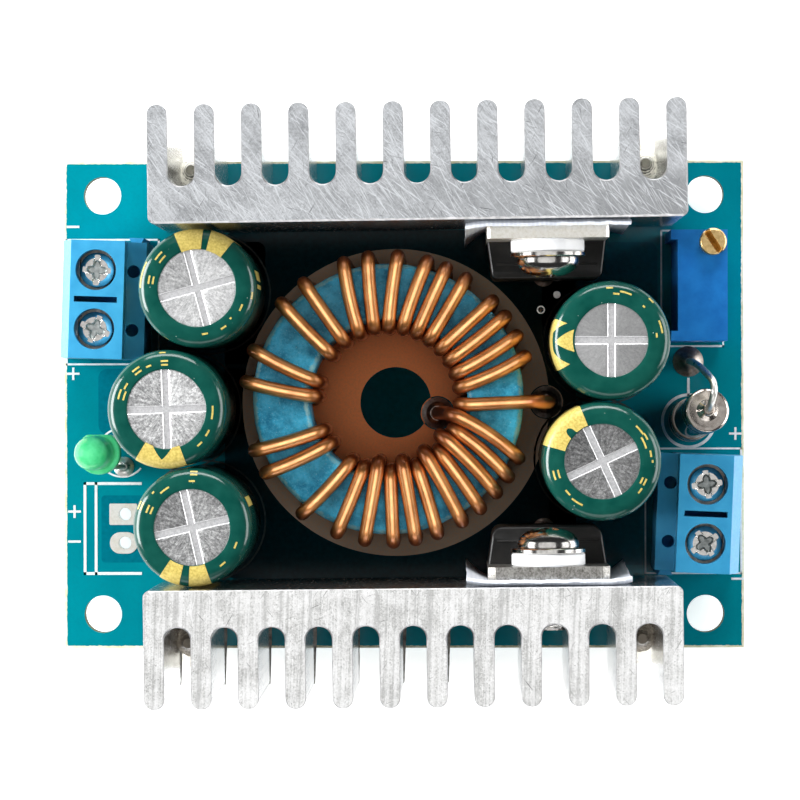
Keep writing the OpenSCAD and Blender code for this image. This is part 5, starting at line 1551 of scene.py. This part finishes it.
def fuse():
    m = Matrix.Translation((25.13, -1.5, BT + 0.35)) @ Matrix.Rotation(rad(5.8), 4, "Y") @ Matrix.Rotation(rad(-5.6), 4, "X")
    L = 10.0
    # glass barrel
    v, f = lathe([(1.3, 0.3), (1.75, 0.3), (1.75, 0.8), (1.75, 5.0), (1.75, L - 0.8), (1.75, L - 0.3), (1.3, L - 0.3)], 64, True)
    add("fuse_barrel", v, f, M["glass"], slot="fuse_glass", replaces=("fuse_tube",), matrix=m)
    # pressed end caps with a crimp ring and a soldered lead
    g = Geo()
    cap = [(0.0, 0.03), (0.45, 0.03), (1.46, 0.06), (1.56, 0.01), (1.72, 0.03), (1.85, 0.12), (1.9, 0.28), (1.9, 1.2), (1.82, 1.35), (1.82, 1.5), (1.9, 1.65), (1.9, 2.12), (1.86, 2.2), (1.76, 2.2), (1.76, 0.3), (0.0, 0.28)]
    v, f = lathe(cap, 64)
    g.put(v, f)
    g.put(v, f, 0, Matrix.Translation((0, 0, L)) @ Matrix.Rotation(math.pi, 4, "X"))
    v, f = lathe([(0.0, -0.05), (0.95, -0.05), (0.86, 0.03), (0.62, 0.14), (0.42, 0.36), (0.34, 0.6), (0.0, 0.62)], 40)
    g.put(v, f, 0, Matrix.Translation((0, 0, L)))
    g.make("fuse_caps", M["cap"], slot="nickel_steel", replaces=("fuse_end_caps",), matrix=m, angle=35)
    v, f = sweep(smooth_path([(0.0, 0.0, 0.3), (0.25, 0.1, 2.5), (-0.2, 0.15, 5.0), (0.2, -0.15, 7.5), (0.0, 0.0, L - 0.3)], 0.3), 0.1, 8)
    add("fuse_wire", v, f, M["tin"], slot="tinned_copper", replaces=("fuse_element",), matrix=m)
    g = Geo()
    sx, sy = math.sin(rad(5.8)), math.sin(rad(5.6))
    top = Vector((25.13 + sx * L, -1.5 + sy * L, BT + 0.35 + L * 0.99))
    pts = [top + Vector((0, 0, 0.0)), top + Vector((0.02, 0.04, 0.4)), top + Vector((0.1, 0.25, 0.9)), top + Vector((0.25, 0.8, 1.75)), (26.55, 1.1, BT + 12.5), (26.5, 1.75, BT + 12.3), (26.3, 2.25, BT + 11.6), (25.6, 3.3, BT + 7), (25.2, 3.7, BT + 3.5), (25.1, 3.75, BT + 1.5), (25.1, 3.75, BT - 0.3), (25.1, 3.75, -1.5)]
    g.put(*sweep(smooth_path(pts, 0.25), 0.3, 14))
    g.put(*sweep([(25.13, -1.5, BT + 0.36), (25.13, -1.5, BT - 0.3), (25.13, -1.5, -0.5), (25.13, -1.5, -1.5)], 0.3, 14))
    g.make("fuse_lead_wires", M["tin"], slot="tinned_copper", replaces=("fuse_leads",))


fuse()

# ------------------------------------------------------------------ underside
cad("controller_chip", M["chip"], 0.06)
cad("controller_chip_leads", M["tin"], 0.03)
cad("chip_resistors", M["chip"], 0.06)
cad("chip_capacitors", M["tan"], 0.08)
cad("sense_resistor", M["chip"], 0.08)


def fillets():
    g = Geo()

    def at(p, r, s, h=0.95):
        prof = [(s * 0.95, 0.0), (r, 0.0), (r, -0.03), (r * 0.93, -0.08), (s + (r - s) * 0.62, -0.22 * h), (s + (r - s) * 0.34, -0.5 * h), (s + (r - s) * 0.15, -0.82 * h), (s + 0.05, -h), (s * 0.95, -h)]
        v, f = lathe(prof, 40, True)
        g.put(v, f, 0, Matrix.Translation((p[0], p[1], 0.0)))

    leads = [(-17.15, 9.85, 105), (-19.75, -0.34, 92), (-17.6, -10.28, 103), (17.66, 5.4, 0), (16.88, -4.78, 25)]
    for x, y, a in leads:
        for s in (-1, 1):
            at((x + s * 2.5 * math.cos(rad(a)), y + s * 2.5 * math.sin(rad(a))), 0.95, 0.3)
    for c, dx in ((SINK_OUT, DEV_OUT), (SINK_IN, DEV_IN)):
        for fx, fy in ((-2.54, -2.8), (0, -4.15), (2.54, -2.8)):
            p = place(c) @ Vector((dx + fx, fy, 0))
            at((p.x, p.y), 1.0, 0.3)
    at((12.56, 0.2), 1.5, 0.6)
    at((3.0, -0.76), 1.5, 0.6)
    for y in (7.66, 10.2, 12.74):
        at((25.48, y), 0.85, 0.26)
    for y in (-5.47, -2.93):
        at((-24.75, y), 0.85, 0.24)
    at((25.13, -1.5), 1.1, 0.3)
    at((25.1, 3.75), 1.1, 0.3)
    for c in (TERM_OUT, TERM_IN):
        for y in (-2.54, 2.54):
            p = place(c) @ Vector((-2.5, y, 0))
            at((p.x, p.y), 1.4, 0.62, 1.1)
    g.make("solder_fillets", M["solder"], slot="solder", replaces=("solder_joints",), angle=40)


fillets()

# copper under the mask on the underside, with bare tinned ends under the small parts
g = Geo()
for pts in (rounded(-29.0, -14.5, -12.5, -6.5, 0.8), rounded(-29.0, 6.5, -12.5, 15.0, 0.8), rounded(13.0, -15.0, 29.0, -6.0, 0.8), rounded(13.2, 7.0, 22.8, 15.0, 0.8), rounded(4.2, -3.2, 11.0, 1.6, 0.8), rounded(-8.0, -14.0, 8.0, -10.6, 0.6)):
    slab(g, pts, [circle(1.3, 32, -24.68, -9.66), circle(1.3, 32, -24.68, -12.2)] if pts[0][0] < -12 and pts[0][1] < 0 else (), -0.012, 0.01)
g.make("copper_areas_below", M["pour"], slot="soldermask")
g = Geo()
for x, y, a, l in ((-9, 2, 90, 2), (-9, 5, 90, 2), (0, 2.2, 0, 2), (0, 4.4, 0, 2), (0, 6.6, 0, 2), (-3, -2, 0, 2), (18.5, 11, 90, 2), (-22, -4, 90, 2), (-9, 8, 90, 2), (-4.5, 8.2, 0, 2), (-6.5, -2, 0, 2), (0.5, -3.4, 0, 2), (15.3, 0.5, 90, 2), (5.5, -8.2, 0, 6.3)):
    w = 1.45 if l < 3 else 3.3
    h = 0.35 if l < 3 else 0.5
    for s in (-1, 1):
        m = Matrix.Translation((x, y, 0)) @ Matrix.Rotation(rad(a), 4, "Z") @ Matrix.Translation((s * (l / 2 + 0.05), 0, 0))
        v = [(-0.28, -w / 2, 0.005), (0.42, -w / 2, 0.005), (0.42, w / 2, 0.005), (-0.28, w / 2, 0.005), (-0.22, -w / 2 + 0.1, -0.06 - h), (0.06, -w / 2 + 0.1, -0.06 - h), (0.06, w / 2 - 0.1, -0.06 - h), (-0.22, w / 2 - 0.1, -0.06 - h)]
        if s < 0:
            v = [(-p[0], p[1], p[2]) for p in v]
        g.put(v, [(0, 1, 2, 3), (4, 7, 6, 5), (0, 4, 5, 1), (1, 5, 6, 2), (2, 6, 7, 3), (3, 7, 4, 0)], 0, m)
g.make("chip_solder", M["solder"], slot="solder", angle=30, bevel=(0.05, 30, 2))

# ------------------------------------------------------------------ floor and light
floor_z = CAD_BOX[0][2] - 0.00002
me = bpy.data.meshes.new("floor")
R = 3.0
me.from_pydata([(-R, -R, floor_z), (R, -R, floor_z), (R, R, floor_z), (-R, R, floor_z)], [], [(0, 1, 2, 3)])
fm = Mat("floor", (0.9, 0.9, 0.9), 0.7)
fm.b.inputs["Emission Color"].default_value = (1.0, 1.0, 1.0, 1)
fm.b.inputs["Emission Strength"].default_value = 0.6
# only its upper side is seen, so that the underside of the board can be looked at
clear = fm.node("ShaderNodeBsdfTransparent")
face = fm.node("ShaderNodeNewGeometry")
pick = fm.node("ShaderNodeMixShader")
fm.link(face.outputs["Backfacing"], pick.inputs[0])
fm.link(fm.b.outputs[0], pick.inputs[1])
fm.link(clear.outputs[0], pick.inputs[2])
fm.link(pick.outputs[0], fm.t.nodes["Material Output"].inputs["Surface"])
me.materials.append(fm.m)
floor = bpy.data.objects.new("floor", me)
scene.collection.objects.link(floor)

world = bpy.data.worlds.new("studio")
scene.world = world
world.use_nodes = True
bg = world.node_tree.nodes["Background"]
bg.inputs["Color"].default_value = (0.95, 0.97, 1.0, 1)
bg.inputs["Strength"].default_value = 0.03
# the backdrop is pale where it is seen directly and gives almost no light
wt = world.node_tree
pale = wt.nodes.new("ShaderNodeBackground")
pale.inputs["Color"].default_value = (0.93, 0.94, 0.95, 1)
pale.inputs["Strength"].default_value = 0.85
seen = wt.nodes.new("ShaderNodeLightPath")
both = wt.nodes.new("ShaderNodeMixShader")
wt.links.new(seen.outputs["Is Camera Ray"], both.inputs[0])
wt.links.new(bg.outputs[0], both.inputs[1])
wt.links.new(pale.outputs[0], both.inputs[2])
wt.links.new(both.outputs[0], wt.nodes["World Output"].inputs["Surface"])


def softbox(name, at, size, power, aim=(0, 0, 0.008), diffuse=True, glossy=True, color=(1, 1, 1), only=()):
    d = bpy.data.lights.new(name, "AREA")
    d.shape = "RECTANGLE"
    d.size, d.size_y = size
    d.energy = power
    d.color = color
    o = bpy.data.objects.new(name, d)
    o.location = at
    o.rotation_euler = (Vector(aim) - Vector(at)).to_track_quat("-Z", "Y").to_euler()
    o.visible_camera = False
    o.visible_diffuse = diffuse
    o.visible_glossy = glossy
    scene.collection.objects.link(o)
    if only:
        lit = bpy.data.collections.new(name + "_lit")
        for ob in bpy.data.objects:
            if ob.type == "MESH" and any(k.strip("!") in ob.name for k in only):
                lit.objects.link(ob)
        if only[0][0] == "!":
            for link in lit.collection_objects:
                link.light_linking.link_state = "EXCLUDE"
        o.light_linking.receiver_collection = lit
    return o


REST = ("!inductor_wire", "!lamp_lens", "!_sink", "!_clamp_screw", "!_plain_washer")
COIL, LAMP, SINK, HEAD = ("inductor_wire",), ("lamp_lens",), ("_sink",), ("_clamp_screw", "_plain_washer")
softbox("left_box", (-0.62, 0.05, 0.28), (0.55, 0.34), 13.0, only=REST)
softbox("right_box", (0.62, 0.02, 0.28), (0.55, 0.34), 4.5, only=REST)
softbox("back_box", (0.0, 0.60, 0.36), (0.60, 0.26), 5.6, only=REST)
softbox("front_box", (0.0, -0.60, 0.36), (0.60, 0.26), 1.1, only=REST)
# the bare heatsinks would mirror those boxes too strongly
softbox("left_sink", (-0.62, 0.05, 0.28), (0.55, 0.34), 0.6, only=SINK)
softbox("right_sink", (0.62, 0.02, 0.28), (0.55, 0.34), 0.5, only=SINK)
softbox("back_sink", (0.0, 0.60, 0.36), (0.60, 0.26), 2.0, only=SINK)
softbox("front_sink", (0.0, -0.60, 0.36), (0.60, 0.26), 1.2, only=SINK)
# large overhead diffusers, seen only as reflections in the bare metal
METAL = ("sink_fixing", "_can_end", "_tab", "top_pads", "_leads", "fuse_caps", "fuse_lead", "trimmer_slotted", "_contacts", "clamp_plus", "clamp_minus", "solder", "_terminal_screw")
softbox("over_metal", (-0.06, 0.0, 0.66), (1.0, 1.0), 2.2, diffuse=False, only=METAL)
softbox("over_sink", (-0.06, 0.0, 0.66), (1.0, 1.0), 3.5, diffuse=False, only=SINK)
# the polished screw heads of the power devices mirror mostly what stands around them
softbox("left_head", (-0.62, 0.05, 0.28), (0.55, 0.34), 1.3, only=HEAD)
softbox("right_head", (0.62, 0.02, 0.28), (0.55, 0.34), 0.9, only=HEAD)
softbox("over_head", (-0.06, 0.0, 0.66), (0.8, 0.8), 1.6, diffuse=False, only=HEAD)
softbox("over_coil", (-0.02, 0.0, 0.66), (0.5, 0.5), 3.0, diffuse=False, only=COIL)
softbox("left_coil", (-0.62, 0.05, 0.28), (0.55, 0.34), 1.3, only=COIL + LAMP)
softbox("right_coil", (0.62, 0.02, 0.28), (0.55, 0.34), 1.05, only=COIL + LAMP)
softbox("over_print", (0.0, 0.0, 0.66), (0.4, 0.4), 1.0, glossy=False, only=("inductor_print", "inductor_ring"))
softbox("over_fixing", (0.004, 0.0, 0.40), (0.03, 0.03), 4.2, glossy=False, only=("sink_fixing",))
softbox("over_lamp", (-0.05, 0.0, 0.66), (0.5, 0.5), 5.0, glossy=False, only=LAMP)
